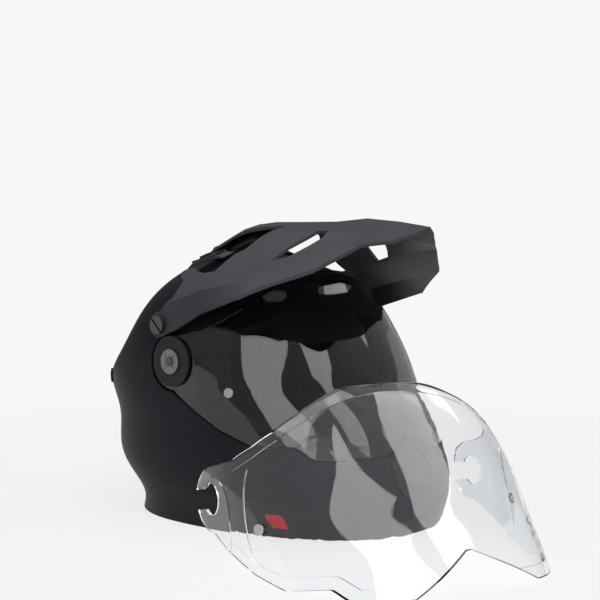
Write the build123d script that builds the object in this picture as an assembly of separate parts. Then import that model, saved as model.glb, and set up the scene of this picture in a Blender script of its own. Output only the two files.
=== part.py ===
from build123d import *
import math
import os
from functools import lru_cache

# Dual sport helmet with its clear spare shield, in millimetres.
# Front is -Y, the wearer's left is +X, up is +Z and the floor is z = 0.
# Y is zero at the widest line of the shell.

# Shell
SHELL_WIDTH = 250.0
SHELL_HEIGHT = 237.0
CHIN_REACH = 175.0
REAR_REACH = 154.0
SHELL_WALL = 4.0
FRONT_ROUNDNESS = 2.4
REAR_ROUNDNESS = 2.2
SEAT_GAP = 0.3
OVERRUN = 20.0

# Shield, its hinge line and the rebate that it lies in
PIVOT_FORE = 3.0
PIVOT_HEIGHT = 141.0
SHIELD_THICKNESS = 2.6
SHIELD_SET = 0.5
SHIELD_CLEARANCE = 3.4
SHIELD_EDGE_GAP = 1.6
SHIELD_HALF_WIDTH = 122.8
SHIELD_TOP_RISE = 72.0
SHIELD_LOW_DROP = 65.0
SHIELD_CORNER = 5.0
LOBE_DROP = 10.0
LOBE_FORE = 125.0
NOTCH_HALF_WIDTH = 31.0
NOTCH_RISE = 14.0
NOTCH_CORNER = 3.0
SHIELD_BORDER = 9.0
SHIELD_BORDER_STEP = 0.5
HOOK_RADIUS = 24.0
HOOK_THICKNESS = 2.4
HOOK_BORE_RADIUS = 12.0
HOOK_MOUTH = 15.0
LENS_PIN_RADIUS = 4.0
LENS_PIN_STEM_RADIUS = 2.0
LENS_PIN_PROUD = 1.2
LENS_PIN_FORE = 59.0
LENS_PIN_DROP = 23.0
REBATE_REAR = 16.0

# Eyeport and its seal
EYEPORT_HALF_WIDTH = 111.0
EYEPORT_TOP = 176.0
EYEPORT_SIDE_TOP = 157.0
EYEPORT_BROW_HALF_WIDTH = 66.0
EYEPORT_BOTTOM = 89.0
EYEPORT_SIDE_BOTTOM = 99.0
EYEPORT_CHIN_HALF_WIDTH = 82.0
EYEPORT_CORNER = 14.0
GASKET_WIDTH = 6.0

# Hinge gear of the shield
PIVOT_PLATE_RADIUS = 23.0
PIVOT_PLATE_SEAT = 117.0
PIVOT_PLATE_THICKNESS = 1.2
PIVOT_POST_RADIUS = 11.4
PIVOT_COVER_RADIUS = 21.5
PIVOT_COVER_THICKNESS = 2.2
PIVOT_DISC_RADIUS = 10.5
PIVOT_DISC_THICKNESS = 1.6
PIVOT_SCREW_RADIUS = 2.6
PIVOT_SCREW_HEAD_RADIUS = 4.2
PIVOT_SCREW_HEAD = 1.0
PIVOT_NUT_RADIUS = 6.0
PIVOT_NUT_LENGTH = 4.0

# Peak
PEAK_TIP_REACH = 180.0
PEAK_HEIGHT = 262.0
PEAK_HALF_WIDTH = 127.0
PEAK_THICKNESS = 2.6
PEAK_STRIP_HALF_WIDTH = 14.0
PEAK_ARM_REAR = 9.0
PEAK_ARM_HEIGHT = 171.5
PEAK_ARM_RADIUS = 11.5
PEAK_WING_REAR = 24.0
PEAK_WING_BASE = 44.0
PEAK_ARM_NECK_REAR = 5.0
PEAK_ARM_NECK_RISE = 37.0
PEAK_ARM_WAIST_REAR = -2.0
PEAK_ARM_WAIST_RISE = 23.0
PEAK_BOSS_RADIUS = 7.0
PEAK_BOSS_LENGTH = 14.0
PEAK_SCREW_RADIUS = 7.8
PEAK_SCREW_HEAD = 3.6
PEAK_SCREW_SHANK_RADIUS = 3.0
PEAK_SCREW_LENGTH = 9.0
PEAK_SCREW_SLOT = 1.8
PEAK_SCREW_SLOT_DEPTH = 1.6
PEAK_SCREW_SLOT_TURN = 45.0
TOP_BRACKET_REAR = 66.0
TOP_BRACKET_LENGTH = 16.0
TOP_BRACKET_WIDTH = 18.0
TOP_SCREW_RADIUS = 4.0
TOP_SCREW_HEAD = 2.0
TOP_SCREW_SHANK_RADIUS = 1.9
TOP_SCREW_LENGTH = 9.0
TOP_PAD_RADIUS = 6.0
TOP_PAD_PROUD = 0.4

# Trim along the lower edge
TRIM_THICKNESS = 2.0
TRIM_LIP = 2.0
TRIM_LIP_DEPTH = 9.0
TRIM_SEAM_HEIGHT = 34.0
TRIM_SEAM_END = 3.0
TAB_LENGTH = 14.0
TAB_HEIGHT = 11.0
TAB_SLANT = 4.0
TAB_THICKNESS = 0.8
TAB_FORE = 92.0
TAB_BASE = 8.0

# Chin vent
CHIN_PANEL_HALF_WIDTH = 33.0
CHIN_PANEL_TOP = 76.0
CHIN_PANEL_BASE = 14.0
CHIN_PANEL_PROUD = 1.2
CHIN_PANEL_DEPTH = 1.2
CHIN_WINDOW_HALF_WIDTH = 14.0
CHIN_WINDOW_BASE = 45.0
CHIN_WINDOW_HEIGHT = 12.0
CHIN_MESH_THICKNESS = 1.0
CHIN_RIB = 3.0
SHUTTER_FORE = 155.5
SHUTTER_THICKNESS = 1.6
SHUTTER_HALF_WIDTH = 17.0
SHUTTER_HEIGHT = 17.0
SHUTTER_TRAVEL = 9.0
SHUTTER_KNOB = 5.0

# Liner and padding
EPS_DEPTH = 10.8
EPS_EYEPORT_FORE = 30.0
LINER_THICKNESS = 8.0
CHEEK_PAD_FORE = 78.0
CHEEK_PAD_REAR = 12.0
CHEEK_PAD_TOP = 96.0
CHEEK_PAD_BASE = 10.0
CHEEK_PAD_HEEL = 2.0
CHEEK_PAD_TOE = 4.0
PAD_CORNER = 3.0
CHIN_EPS_THICKNESS = 17.7
CHIN_EPS_BASE = 12.0
CHIN_EPS_TOP = 72.0
NECK_ROLL_FORE = 44.0
REAR_EPS_BASE = 30.0
DEFLECTOR_THICKNESS = 2.0
DEFLECTOR_HALF_WIDTH = 36.0
DEFLECTOR_BASE = 50.0
DEFLECTOR_TOP = 98.0
DEFLECTOR_SHOULDER = 8.0
CURTAIN_THICKNESS = 1.6
CURTAIN_HALF_WIDTH = 70.0

# Chin strap
STRAP_WIDTH = 22.0
STRAP_THICKNESS = 2.0
STRAP_REAR = 28.0
STRAP_ANCHOR_TOP = 58.0
STRAP_ANCHOR_LOW = 42.0
STRAP_TURN_HEIGHT = 24.0
STRAP_LOW = 5.0
STRAP_REACH = 42.0
STRAP_STOP = 6.0
ANCHOR_THICKNESS = 2.4
ANCHOR_WIDTH = 16.0
RIVET_RADIUS = 5.0
RIVET_THICKNESS = 1.6
RIVET_SHANK_RADIUS = 2.2
LOOP_HEIGHT = 6.6
LOOP_WALL = 1.4
LOOP_LENGTH = 3.4
D_RING_WIRE = 2.2
D_RING_LENGTH = 22.0
D_RING_STEP = 4.0
D_RING_HALF = 11.4

# Crown vents
VENT_LENGTH = 46.0
VENT_FLAT = 30.0
VENT_WIDTH = 16.0
VENT_BASE_HEIGHT = 1.6
VENT_ASIDE = 47.0
VENT_REAR = 29.0
SLIDER_WIDTH = 11.0
SLIDER_HEIGHT = 1.8
SLIDER_RIDGE = 1.4
SLIDER_RIDGES = 3
SLIDER_TRAVEL = 8.0

# Rear vents
REAR_VENT_HEIGHT = 118.0
REAR_VENT_LENGTH = 30.0
REAR_VENT_WIDTH = 16.0
REAR_VENT_PROUD = 1.6
REAR_VENT_REAR = 122.0

# Spare shield: its wider notch and its place on the floor in front of the helmet
SPARE_NOTCH_HALF_WIDTH = 52.0
SPARE_NOTCH_RISE = 27.0
SPARE_NOTCH_CORNER = 9.0
SPARE_ASIDE = -75.7
SPARE_FORE = 157.2
SPARE_TURN = -18.8
SPARE_TIP = 10.9

HALF_WIDTH = SHELL_WIDTH / 2
PIVOT_Y = -PIVOT_FORE

# Stations of the outer skin from below the floor to the crown: height as a share of
# the shell's height, then half width, front and rear as shares of their largest values
SKIN_SHARES = [
    (-0.060, 0.800, 0.920, 0.690),
    (0.012, 0.850, 0.968, 0.745),
    (0.078, 0.874, 1.000, 0.732),
    (0.180, 0.932, 0.998, 0.890),
    (0.321, 0.972, 0.910, 0.922),
    (0.440, 0.996, 0.797, 0.962),
    (0.520, 1.000, 0.737, 1.000),
    (0.620, 0.998, 0.655, 0.868),
    (0.735, 0.950, 0.545, 0.720),
    (0.840, 0.825, 0.448, 0.580),
    (0.925, 0.595, 0.330, 0.420),
    (0.978, 0.345, 0.175, 0.250),
    (1.000, 0.120, 0.055, 0.080),
]
SECTION_POINTS = 16

# The space for the head inside the liner, in the same four shares
HEAD_SHARES = [
    (0.060, 0.660, 0.530, 0.600),
    (0.250, 0.690, 0.560, 0.700),
    (0.420, 0.715, 0.585, 0.750),
    (0.550, 0.730, 0.550, 0.765),
    (0.680, 0.700, 0.460, 0.655),
    (0.780, 0.580, 0.350, 0.500),
    (0.845, 0.400, 0.230, 0.320),
    (0.865, 0.170, 0.095, 0.130),
]

# The space for the face and neck between the cheek pads
FACE_SHARES = [
    (-0.060, 0.570, 0.560, 0.590),
    (0.200, 0.570, 0.560, 0.590),
    (0.330, 0.585, 0.570, 0.640),
    (0.500, 0.620, 0.580, 0.680),
]

# Lower and upper edges of the shield in side view, ahead of the hinge line and above it
LOWER_EDGE = [
    (0, -HOOK_RADIUS),
    (LOBE_FORE * 0.40, -SHIELD_LOW_DROP * 0.83),
    (LOBE_FORE * 0.62, -SHIELD_LOW_DROP),
    (LOBE_FORE * 0.89, -SHIELD_LOW_DROP),
    (LOBE_FORE, -SHIELD_LOW_DROP - LOBE_DROP),
]
UPPER_EDGE = [
    (LOBE_FORE * 0.88, SHIELD_TOP_RISE * 1.06),
    (LOBE_FORE * 0.45, SHIELD_TOP_RISE * 1.06),
    (LOBE_FORE * 0.47, SHIELD_TOP_RISE * 0.89),
    (LOBE_FORE * 0.456, SHIELD_TOP_RISE * 0.75),
    (LOBE_FORE * 0.41, SHIELD_TOP_RISE * 0.60),
    (LOBE_FORE * 0.336, SHIELD_TOP_RISE * 0.48),
    (LOBE_FORE * 0.22, HOOK_RADIUS * 1.12),
    (0, HOOK_RADIUS),
]


def stations(shares):
    """Heights and half axes of a table of shares, in millimetres."""
    return [
        (z * SHELL_HEIGHT, w * HALF_WIDTH, f * CHIN_REACH, r * REAR_REACH)
        for z, w, f, r in shares
    ]


def section(z, half, front, rear):
    """Closed egg-shaped outline at one height."""
    points = []
    for i in range(SECTION_POINTS):
        angle = 2 * math.pi * i / SECTION_POINTS
        side, along = math.sin(angle), math.cos(angle)
        power = 2 / (REAR_ROUNDNESS if along > 0 else FRONT_ROUNDNESS)
        reach = rear if along > 0 else front
        x = half * math.copysign(abs(side) ** power, side)
        y = reach * math.copysign(abs(along) ** power, along)
        points.append((x, y, z))
    return Wire(Spline(*points, periodic=True))


def egg(table):
    """Smooth solid through the stations of a table."""
    return Solid.make_loft([section(*row) for row in table])


def inset(table, depth):
    """The same stations moved in by a depth, square to the surface."""
    moved = []
    last = len(table) - 1
    for i, (z, half, front, rear) in enumerate(table):
        low, high = table[max(i - 1, 0)], table[min(i + 1, last)]
        rise = high[0] - low[0]
        spread = sum(high[1:]) / 3 - sum(low[1:]) / 3
        slope = math.atan2(-spread, rise)
        down, inward = depth * math.sin(slope), depth * math.cos(slope)
        moved.append((z - down, half - inward, front - inward, rear - inward))
    return moved


@lru_cache(maxsize=None)
def skin(depth):
    """Solid bounded by the shell's outer surface moved in by a depth."""
    table = [row for row in inset(stations(SKIN_SHARES), depth) if min(row[1:]) > depth / 2]
    return egg(table)


def side_at(y, z):
    """Distance of the outer surface from the middle plane at a place in side view."""
    table = stations(SKIN_SHARES)
    for low, high in zip(table, table[1:]):
        if low[0] <= z <= high[0]:
            part = (z - low[0]) / (high[0] - low[0])
            _, half, front, rear = [a + part * (b - a) for a, b in zip(low, high)]
    power, reach = (FRONT_ROUNDNESS, front) if y < 0 else (REAR_ROUNDNESS, rear)
    return half * (1 - abs(y / reach) ** power) ** (1 / power)


def polygon(points, corner=0):
    """Face through points, with its corners rounded."""
    face = make_face(Polyline(*points, close=True))
    return fillet(face.vertices(), corner) if corner else face


def side_prism(face, half=HALF_WIDTH + OVERRUN):
    """Prism across the helmet from a face drawn in (y, z)."""
    return extrude(Plane.YZ * face, amount=half, both=True)


def front_prism(face, back=0):
    """Prism forward of y = back from a face drawn in (x, z)."""
    return extrude(Plane.XZ.offset(-back) * face, amount=CHIN_REACH + OVERRUN + back)


def block(x0, x1, y0, y1, z0, z1):
    return Pos((x0 + x1) / 2, (y0 + y1) / 2, (z0 + z1) / 2) * Box(x1 - x0, y1 - y0, z1 - z0)


def cylinder_x(radius, x0, x1, y=PIVOT_Y, z=PIVOT_HEIGHT):
    """Cylinder along X between two places."""
    return Pos((x0 + x1) / 2, y, z) * Rot(0, 90, 0) * Cylinder(radius, abs(x1 - x0))


def mirrored(shape):
    return shape.mirror(Plane.YZ)


def save(node, *shapes):
    """Write a node as one STEP file, from all the solids of its shapes."""
    solids = [solid for shape in shapes for solid in shape.solids()]
    whole = solids[0] if len(solids) == 1 else Compound(children=solids)
    export_step(whole, f"parts/{node}.step")


def about_pivot(fore, rise):
    """Point in side view from its place ahead of the hinge line and above it."""
    return (PIVOT_Y - fore, PIVOT_HEIGHT + rise)


def shield_outline():
    """Side view of the shield, with its round hooks."""
    front = LOBE_FORE + CHIN_REACH / 2
    points = [about_pivot(*p) for p in LOWER_EDGE]
    points += [about_pivot(front, -SHIELD_LOW_DROP - LOBE_DROP), about_pivot(front, UPPER_EDGE[0][1])]
    points += [about_pivot(*p) for p in UPPER_EDGE]
    return polygon(points, SHIELD_CORNER) + Pos(*about_pivot(0, 0)) * Circle(HOOK_RADIUS)


def rebate_outline(grow=0):
    """Side view of the shell's rebate: the shield's lower edge with its gap, and the sweep above."""
    gap = SHIELD_EDGE_GAP + grow
    front = LOBE_FORE + CHIN_REACH / 2
    points = [about_pivot(fore, rise - gap) for fore, rise in LOWER_EDGE]
    points += [about_pivot(front, -SHIELD_LOW_DROP - LOBE_DROP - gap), about_pivot(front, SHELL_HEIGHT)]
    points += [about_pivot(-REBATE_REAR - grow, SHELL_HEIGHT), about_pivot(-REBATE_REAR - grow, 0)]
    return polygon(points, SHIELD_CORNER / 2) + Pos(*about_pivot(0, 0)) * Circle(HOOK_RADIUS + gap)


def notch(lift=0, half=NOTCH_HALF_WIDTH, rise=NOTCH_RISE, corner=NOTCH_CORNER):
    """Prism below the notch in the middle of a shield's lower edge."""
    base = PIVOT_HEIGHT - SHIELD_LOW_DROP - LOBE_DROP + lift
    points = [(-2 * half, base - rise), (0, base + rise), (2 * half, base - rise)]
    return front_prism(polygon(points, corner), -LOBE_FORE / 2)


def rebate_space(grow=0):
    """Prism of the rebate, leaving the shell below the shield's notch."""
    return side_prism(rebate_outline(grow)) - notch(-SHIELD_EDGE_GAP - grow)


def eyeport_face(grow=0):
    wide = EYEPORT_HALF_WIDTH + grow
    points = [
        (-EYEPORT_CHIN_HALF_WIDTH, EYEPORT_BOTTOM - grow),
        (EYEPORT_CHIN_HALF_WIDTH, EYEPORT_BOTTOM - grow),
        (wide, EYEPORT_SIDE_BOTTOM - grow),
        (wide, EYEPORT_SIDE_TOP + grow),
        (EYEPORT_BROW_HALF_WIDTH, EYEPORT_TOP + grow),
        (-EYEPORT_BROW_HALF_WIDTH, EYEPORT_TOP + grow),
        (-wide, EYEPORT_SIDE_TOP + grow),
        (-wide, EYEPORT_SIDE_BOTTOM - grow),
    ]
    return polygon(points, EYEPORT_CORNER)


def seam_outline(gap=0):
    """Side view of the trim below its seam line."""
    front, rear = -CHIN_REACH, REAR_REACH
    seam = [
        (rear + OVERRUN, TRIM_SEAM_END),
        (rear * 0.60, TRIM_SEAM_END * 2),
        (rear * 0.40, TRIM_SEAM_HEIGHT * 0.45),
        (rear * 0.27, TRIM_SEAM_HEIGHT * 0.78),
        (rear * 0.12, TRIM_SEAM_HEIGHT),
        (front * 0.10, TRIM_SEAM_HEIGHT),
        (front * 0.50, TRIM_SEAM_HEIGHT * 0.9),
        (front * 0.82, TRIM_SEAM_HEIGHT * 0.74),
        (front * 0.96, TRIM_SEAM_HEIGHT * 0.4),
        (front - OVERRUN, TRIM_SEAM_HEIGHT * 0.3),
    ]
    return polygon([(y, z + gap) for y, z in seam] + [(front - OVERRUN, 0), (rear + OVERRUN, 0)])


def chin_panel_face(gap=0):
    wide, high, low = CHIN_PANEL_HALF_WIDTH, CHIN_PANEL_TOP, CHIN_PANEL_BASE
    right = [
        (wide * 0.45, low),
        (wide * 0.60, low * 0.71 + high * 0.29),
        (wide * 0.85, low * 0.63 + high * 0.37),
        (wide, low * 0.52 + high * 0.48),
        (wide, high - NOTCH_RISE),
    ]
    points = right + [(0, high)] + [(-x, z) for x, z in reversed(right)]
    face = polygon(points)
    return offset(face, gap) if gap else face


def chin_window(gap=0):
    """Lower window of the chin vent, in front view."""
    low, high = CHIN_WINDOW_BASE - gap, CHIN_WINDOW_BASE + CHIN_WINDOW_HEIGHT + gap
    top, base = CHIN_WINDOW_HALF_WIDTH + gap, CHIN_WINDOW_HALF_WIDTH * 0.8 + gap
    return polygon([(-base, low), (base, low), (top, high), (-top, high)])


def chin_upper_window(gap=0):
    """Upper, three-sided window of the chin vent, in front view."""
    low = CHIN_WINDOW_BASE + CHIN_WINDOW_HEIGHT + CHIN_RIB
    wide = CHIN_WINDOW_HALF_WIDTH * 0.8
    face = polygon([(-wide, low), (wide, low), (0, low + NOTCH_RISE * 0.8)])
    return offset(face, gap, kind=Kind.INTERSECTION) if gap else face


def shell():
    """Hard outer shell with the rebate that the shield lies in."""
    rebate = SHIELD_SET + SHIELD_THICKNESS + SHIELD_CLEARANCE
    far = HALF_WIDTH + OVERRUN
    outer = skin(0) & block(-far, far, -CHIN_REACH - OVERRUN, REAR_REACH + OVERRUN,
                            TRIM_LIP + SEAT_GAP, SHELL_HEIGHT + OVERRUN)
    outer -= rebate_space() - skin(rebate)
    outer -= side_prism(seam_outline(SEAT_GAP)) - skin(TRIM_THICKNESS + SEAT_GAP)
    outer -= front_prism(chin_panel_face(SEAT_GAP), -CHEEK_PAD_FORE) - skin(CHIN_PANEL_DEPTH + SEAT_GAP)
    inner = skin(SHELL_WALL) - (rebate_space(SHELL_WALL) - skin(SHELL_WALL + rebate))
    body = outer - inner
    body -= front_prism(eyeport_face())
    body -= front_prism(chin_window(), -CHEEK_PAD_FORE)
    body -= front_prism(chin_upper_window(), -CHEEK_PAD_FORE)
    for side in (-1, 1):
        body -= cylinder_x(PIVOT_PLATE_RADIUS + SEAT_GAP, side * PIVOT_PLATE_SEAT, side * HALF_WIDTH)
        body -= side_bore(side, PIVOT_NUT_RADIUS + SEAT_GAP)
        body -= side_bore(side, PEAK_BOSS_RADIUS + SEAT_GAP, PEAK_ARM_REAR, PEAK_ARM_HEIGHT)
    return body


def side_bore(side, radius, y=PIVOT_Y, z=PIVOT_HEIGHT):
    """Bore through one side of the helmet, from its cavity out."""
    return cylinder_x(radius, side * HALF_WIDTH / 2, side * (HALF_WIDTH + OVERRUN), y, z)


def base_trim():
    """Skirt outside the shell's lower edge, with a lip turned in under it."""
    far = HALF_WIDTH + OVERRUN
    above = skin(TRIM_THICKNESS) & block(-far, far, -CHIN_REACH - OVERRUN, REAR_REACH + OVERRUN,
                                         TRIM_LIP, TRIM_SEAM_HEIGHT + OVERRUN)
    return (skin(0) & side_prism(seam_outline())) - above - skin(TRIM_LIP_DEPTH)


def trim_tab():
    """Small red tab on the right side of the trim."""
    low, rear = TAB_BASE, -TAB_FORE
    face = polygon([
        (rear, low),
        (rear + TAB_SLANT, low + TAB_HEIGHT),
        (rear + TAB_SLANT - TAB_LENGTH, low + TAB_HEIGHT),
        (rear - TAB_LENGTH, low),
    ])
    prism = extrude(Plane.YZ * face, amount=-HALF_WIDTH - OVERRUN)
    return (skin(-TAB_THICKNESS) & prism) - skin(0)


def chin_panel():
    """Vent cover on the middle of the chin bar."""
    body = skin(-CHIN_PANEL_PROUD) & front_prism(chin_panel_face(), -CHEEK_PAD_FORE)
    body -= skin(CHIN_PANEL_DEPTH)
    for window in (chin_window(), chin_upper_window()):
        body -= front_prism(window, -CHEEK_PAD_FORE)
    return body


def chin_mesh(window):
    """Mesh across one vent window, held in the shell behind the panel."""
    plate = skin(CHIN_PANEL_DEPTH + SEAT_GAP) & front_prism(window, -CHEEK_PAD_FORE)
    return plate - skin(CHIN_PANEL_DEPTH + SEAT_GAP + CHIN_MESH_THICKNESS)


def shutter():
    """Flat shutter that slides up behind the chin window, with its knob."""
    low = CHIN_WINDOW_BASE - SEAT_GAP * 4
    front, back = -SHUTTER_FORE, -SHUTTER_FORE + SHUTTER_THICKNESS
    plate = block(-SHUTTER_HALF_WIDTH, SHUTTER_HALF_WIDTH, front, back, low, low + SHUTTER_HEIGHT)
    knob = block(-SHUTTER_KNOB, SHUTTER_KNOB, back, -SHUTTER_FORE + CHIN_EPS_THICKNESS + SHUTTER_KNOB,
                 low + SHUTTER_HEIGHT - SHUTTER_KNOB, low + SHUTTER_HEIGHT)
    return plate + knob


def shutter_space():
    """Slot and knob window in the chin liner over the shutter's travel."""
    low = CHIN_WINDOW_BASE - SEAT_GAP * 4 - SHUTTER_TRAVEL - SEAT_GAP
    high = low + SHUTTER_TRAVEL + SHUTTER_HEIGHT + 2 * SEAT_GAP
    wide, knob = SHUTTER_HALF_WIDTH + SEAT_GAP, SHUTTER_KNOB + SEAT_GAP
    slot = block(-wide, wide, -CHIN_REACH, -SHUTTER_FORE + SHUTTER_THICKNESS + SEAT_GAP, low, high)
    window = block(-knob, knob, -CHIN_REACH, -CHEEK_PAD_FORE, high - SHUTTER_TRAVEL - 2 * knob, high)
    return slot + window


def gasket():
    """Rubber seal round the eyeport, on the floor of the rebate."""
    rebate = SHIELD_SET + SHIELD_THICKNESS + SHIELD_CLEARANCE
    ring = front_prism(eyeport_face(GASKET_WIDTH)) - front_prism(eyeport_face())
    ring &= side_prism(rebate_outline(-SEAT_GAP))
    top = SHIELD_SET + SHIELD_THICKNESS + SEAT_GAP
    return (skin(top) & ring) - skin(rebate - SEAT_GAP)


def shield():
    """Injection-moulded shield without its notch: a bowed pane with a flat hook at each end."""
    inner_half = SHIELD_HALF_WIDTH - HOOK_THICKNESS
    slab = block(-inner_half, inner_half, -2 * CHIN_REACH, CHIN_REACH, 0, 2 * SHELL_HEIGHT)
    outline = shield_outline()
    pane = skin(SHIELD_SET) & side_prism(outline, SHIELD_HALF_WIDTH)
    pane -= skin(SHIELD_SET + SHIELD_THICKNESS) & slab
    pane -= side_prism(outline - offset(outline, -SHIELD_BORDER)) - skin(SHIELD_SET + SHIELD_BORDER_STEP)
    for side in (-1, 1):
        pane -= side_bore(side, HOOK_BORE_RADIUS)
        x0, x1 = sorted((side * HALF_WIDTH / 2, side * (HALF_WIDTH + OVERRUN)))
        pane -= block(x0, x1, PIVOT_Y, PIVOT_Y + HOOK_RADIUS + OVERRUN,
                      PIVOT_HEIGHT - HOOK_MOUTH / 2, PIVOT_HEIGHT + HOOK_MOUTH / 2)
        pane -= lens_pin_stem(side, LENS_PIN_STEM_RADIUS + SEAT_GAP / 2)
    return pane


def lens_pin_place(side):
    """Frame on the shield's outer face at a lens pin, with Z pointing out."""
    y, z = about_pivot(LENS_PIN_FORE, -LENS_PIN_DROP)
    step = LENS_PIN_RADIUS
    turn = math.degrees(math.atan2(side_at(y + step, z) - side_at(y - step, z), 2 * step))
    lean = math.degrees(math.atan2(side_at(y, z - step) - side_at(y, z + step), 2 * step))
    x = side_at(y, z) - SHIELD_SET / math.cos(math.radians(turn))
    return Pos(side * x, y, z) * Rot(0, 0, -side * turn) * Rot(0, side * (90 - lean), 0)


def lens_pin_stem(side, radius):
    reach = LENS_PIN_PROUD + SEAT_GAP + SHIELD_THICKNESS
    return lens_pin_place(side) * Pos(0, 0, LENS_PIN_PROUD + SEAT_GAP - reach / 2) * Cylinder(radius, reach)


def lens_pin(side):
    """Pin that an inner lens clips on: a stem through the shield with a head outside."""
    head = lens_pin_place(side) * Pos(0, 0, SEAT_GAP + LENS_PIN_PROUD / 2)
    return lens_pin_stem(side, LENS_PIN_STEM_RADIUS) + head * Cylinder(LENS_PIN_RADIUS, LENS_PIN_PROUD)


def pivot_plate(side):
    """Plate bolted into the shell, with the post that the shield's hook turns on."""
    face = side * (PIVOT_PLATE_SEAT + PIVOT_PLATE_THICKNESS)
    plate = cylinder_x(PIVOT_PLATE_RADIUS, side * PIVOT_PLATE_SEAT, face)
    post = cylinder_x(PIVOT_POST_RADIUS, face, side * (SHIELD_HALF_WIDTH + SEAT_GAP))
    nut = cylinder_x(PIVOT_NUT_RADIUS, side * (PIVOT_PLATE_SEAT - PIVOT_NUT_LENGTH), side * PIVOT_PLATE_SEAT)
    return plate + post + nut - side_bore(side, PIVOT_SCREW_RADIUS)


def pivot_cover(side):
    """Round cover over the shield's hook."""
    inner = side * (SHIELD_HALF_WIDTH + SEAT_GAP)
    cover = cylinder_x(PIVOT_COVER_RADIUS, inner, inner + side * PIVOT_COVER_THICKNESS)
    return cover - side_bore(side, PIVOT_SCREW_RADIUS)


def pivot_disc(side):
    """Metal disc in the middle of the cover."""
    inner = side * (SHIELD_HALF_WIDTH + SEAT_GAP + PIVOT_COVER_THICKNESS)
    disc = cylinder_x(PIVOT_DISC_RADIUS, inner, inner + side * PIVOT_DISC_THICKNESS)
    return disc - side_bore(side, PIVOT_SCREW_RADIUS)


def pivot_screw(side):
    """Screw through the disc, the cover and the plate's post."""
    face = side * (SHIELD_HALF_WIDTH + SEAT_GAP + PIVOT_COVER_THICKNESS + PIVOT_DISC_THICKNESS)
    shank = cylinder_x(PIVOT_SCREW_RADIUS, side * (PIVOT_PLATE_SEAT - PIVOT_NUT_LENGTH), face)
    head = cylinder_x(PIVOT_SCREW_HEAD_RADIUS, face, face + side * PIVOT_SCREW_HEAD)
    return shank + head


# Stations of the peak from front to rear: place along Y, then the height of the ridge
# and the (x, z) places of its two creases, its knee and its lower edge, all as shares
PEAK_SHARES = [
    (-1.055, 0.962, (0.236, 0.908), (0.425, 0.901), (0.709, 0.826), (1.008, 0.756)),
    (-0.828, 0.987, (0.252, 0.931), (0.425, 0.910), (0.709, 0.828), (1.008, 0.752)),
    (-0.639, 1.000, (0.268, 0.954), (0.480, 0.895), (0.756, 0.821), (1.012, 0.756)),
    (-0.450, 0.992, (0.268, 0.958), (0.559, 0.870), (0.850, 0.805), (1.012, 0.750)),
    (-0.211, 0.994, (0.260, 0.962), (0.677, 0.836), (0.957, 0.771), (1.000, 0.695)),
    (-0.056, 0.996, (0.244, 0.958), (0.748, 0.819), (0.988, 0.737), (1.000, 0.641)),
    (0.067, 0.989, (0.236, 0.947), (0.780, 0.805), (0.992, 0.725), (1.000, 0.611)),
    (0.167, 0.973, (0.220, 0.927), (0.787, 0.794), (0.992, 0.718), (1.000, 0.609)),
    (0.311, 0.927, (0.220, 0.885), (0.787, 0.760), (0.992, 0.690), (1.000, 0.600)),
    (0.444, 0.861, (0.220, 0.824), (0.787, 0.720), (0.992, 0.660), (1.000, 0.600)),
]

# Front edge of the peak in plan, from the tip to the side, as shares
PEAK_FRONT_SHARES = [
    (0.000, 1.000),
    (0.087, 0.978),
    (0.173, 0.939),
    (0.252, 0.906),
    (0.413, 0.828),
    (0.480, 0.806),
    (0.583, 0.761),
    (0.693, 0.717),
    (1.013, 0.450),
    (1.060, 0.300),
]

# Slot in each side of the peak's top, and the opening beside its strip, in plan
PEAK_SLOT_SHARES = [
    (0.583, 0.394), (0.435, 0.411), (0.325, 0.461), (0.246, 0.489),
    (0.260, 0.550), (0.346, 0.556), (0.430, 0.528), (0.543, 0.475),
]
PEAK_GAP_SHARES = [
    (0.000, 0.186), (0.190, 0.188), (0.265, 0.182), (0.311, 0.159), (0.372, 0.152),
    (0.466, 0.146), (0.516, 0.115), (0.606, 0.110), (0.717, 0.117), (0.739, 0.060),
    (0.703, -0.011), (0.650, -0.070), (0.640, -0.600), (0.000, -0.600),
]


def moved_in(chain, depth):
    """A chain of (x, z) points moved to its inner side by a depth, mitred at each point."""
    result = []
    last = len(chain) - 1
    for i, (x, z) in enumerate(chain):
        x0, z0 = chain[max(i - 1, 0)]
        x1, z1 = chain[min(i + 1, last)]
        before = math.atan2(z - z0, x - x0) if i else math.atan2(z1 - z, x1 - x)
        after = math.atan2(z1 - z, x1 - x) if i < last else before
        middle, half = (before + after) / 2, (after - before) / 2
        reach = depth / math.cos(half)
        result.append((x + reach * math.sin(middle), z - reach * math.cos(middle)))
    return result


def peak_section(row):
    """Closed outline of the peak across one station."""
    y, ridge, *points = row
    right = [(PEAK_HALF_WIDTH * x, PEAK_HEIGHT * z) for x, z in points]
    chain = [(-x, z) for x, z in reversed(right)] + [(0, PEAK_HEIGHT * ridge)] + right
    ring = chain + list(reversed(moved_in(chain, PEAK_THICKNESS)))
    return Wire.make_polygon([Vector(x, PEAK_TIP_REACH * y, z) for x, z in ring])


def peak_plan(shares, both=True):
    """Tall prism over a plan outline given as shares of the peak's half width and reach."""
    right = [(PEAK_HALF_WIDTH * x, -PEAK_TIP_REACH * y) for x, y in shares]
    return Pos(0, 0, PEAK_ARM_HEIGHT) * extrude(polygon(right), amount=PEAK_HEIGHT)


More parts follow.
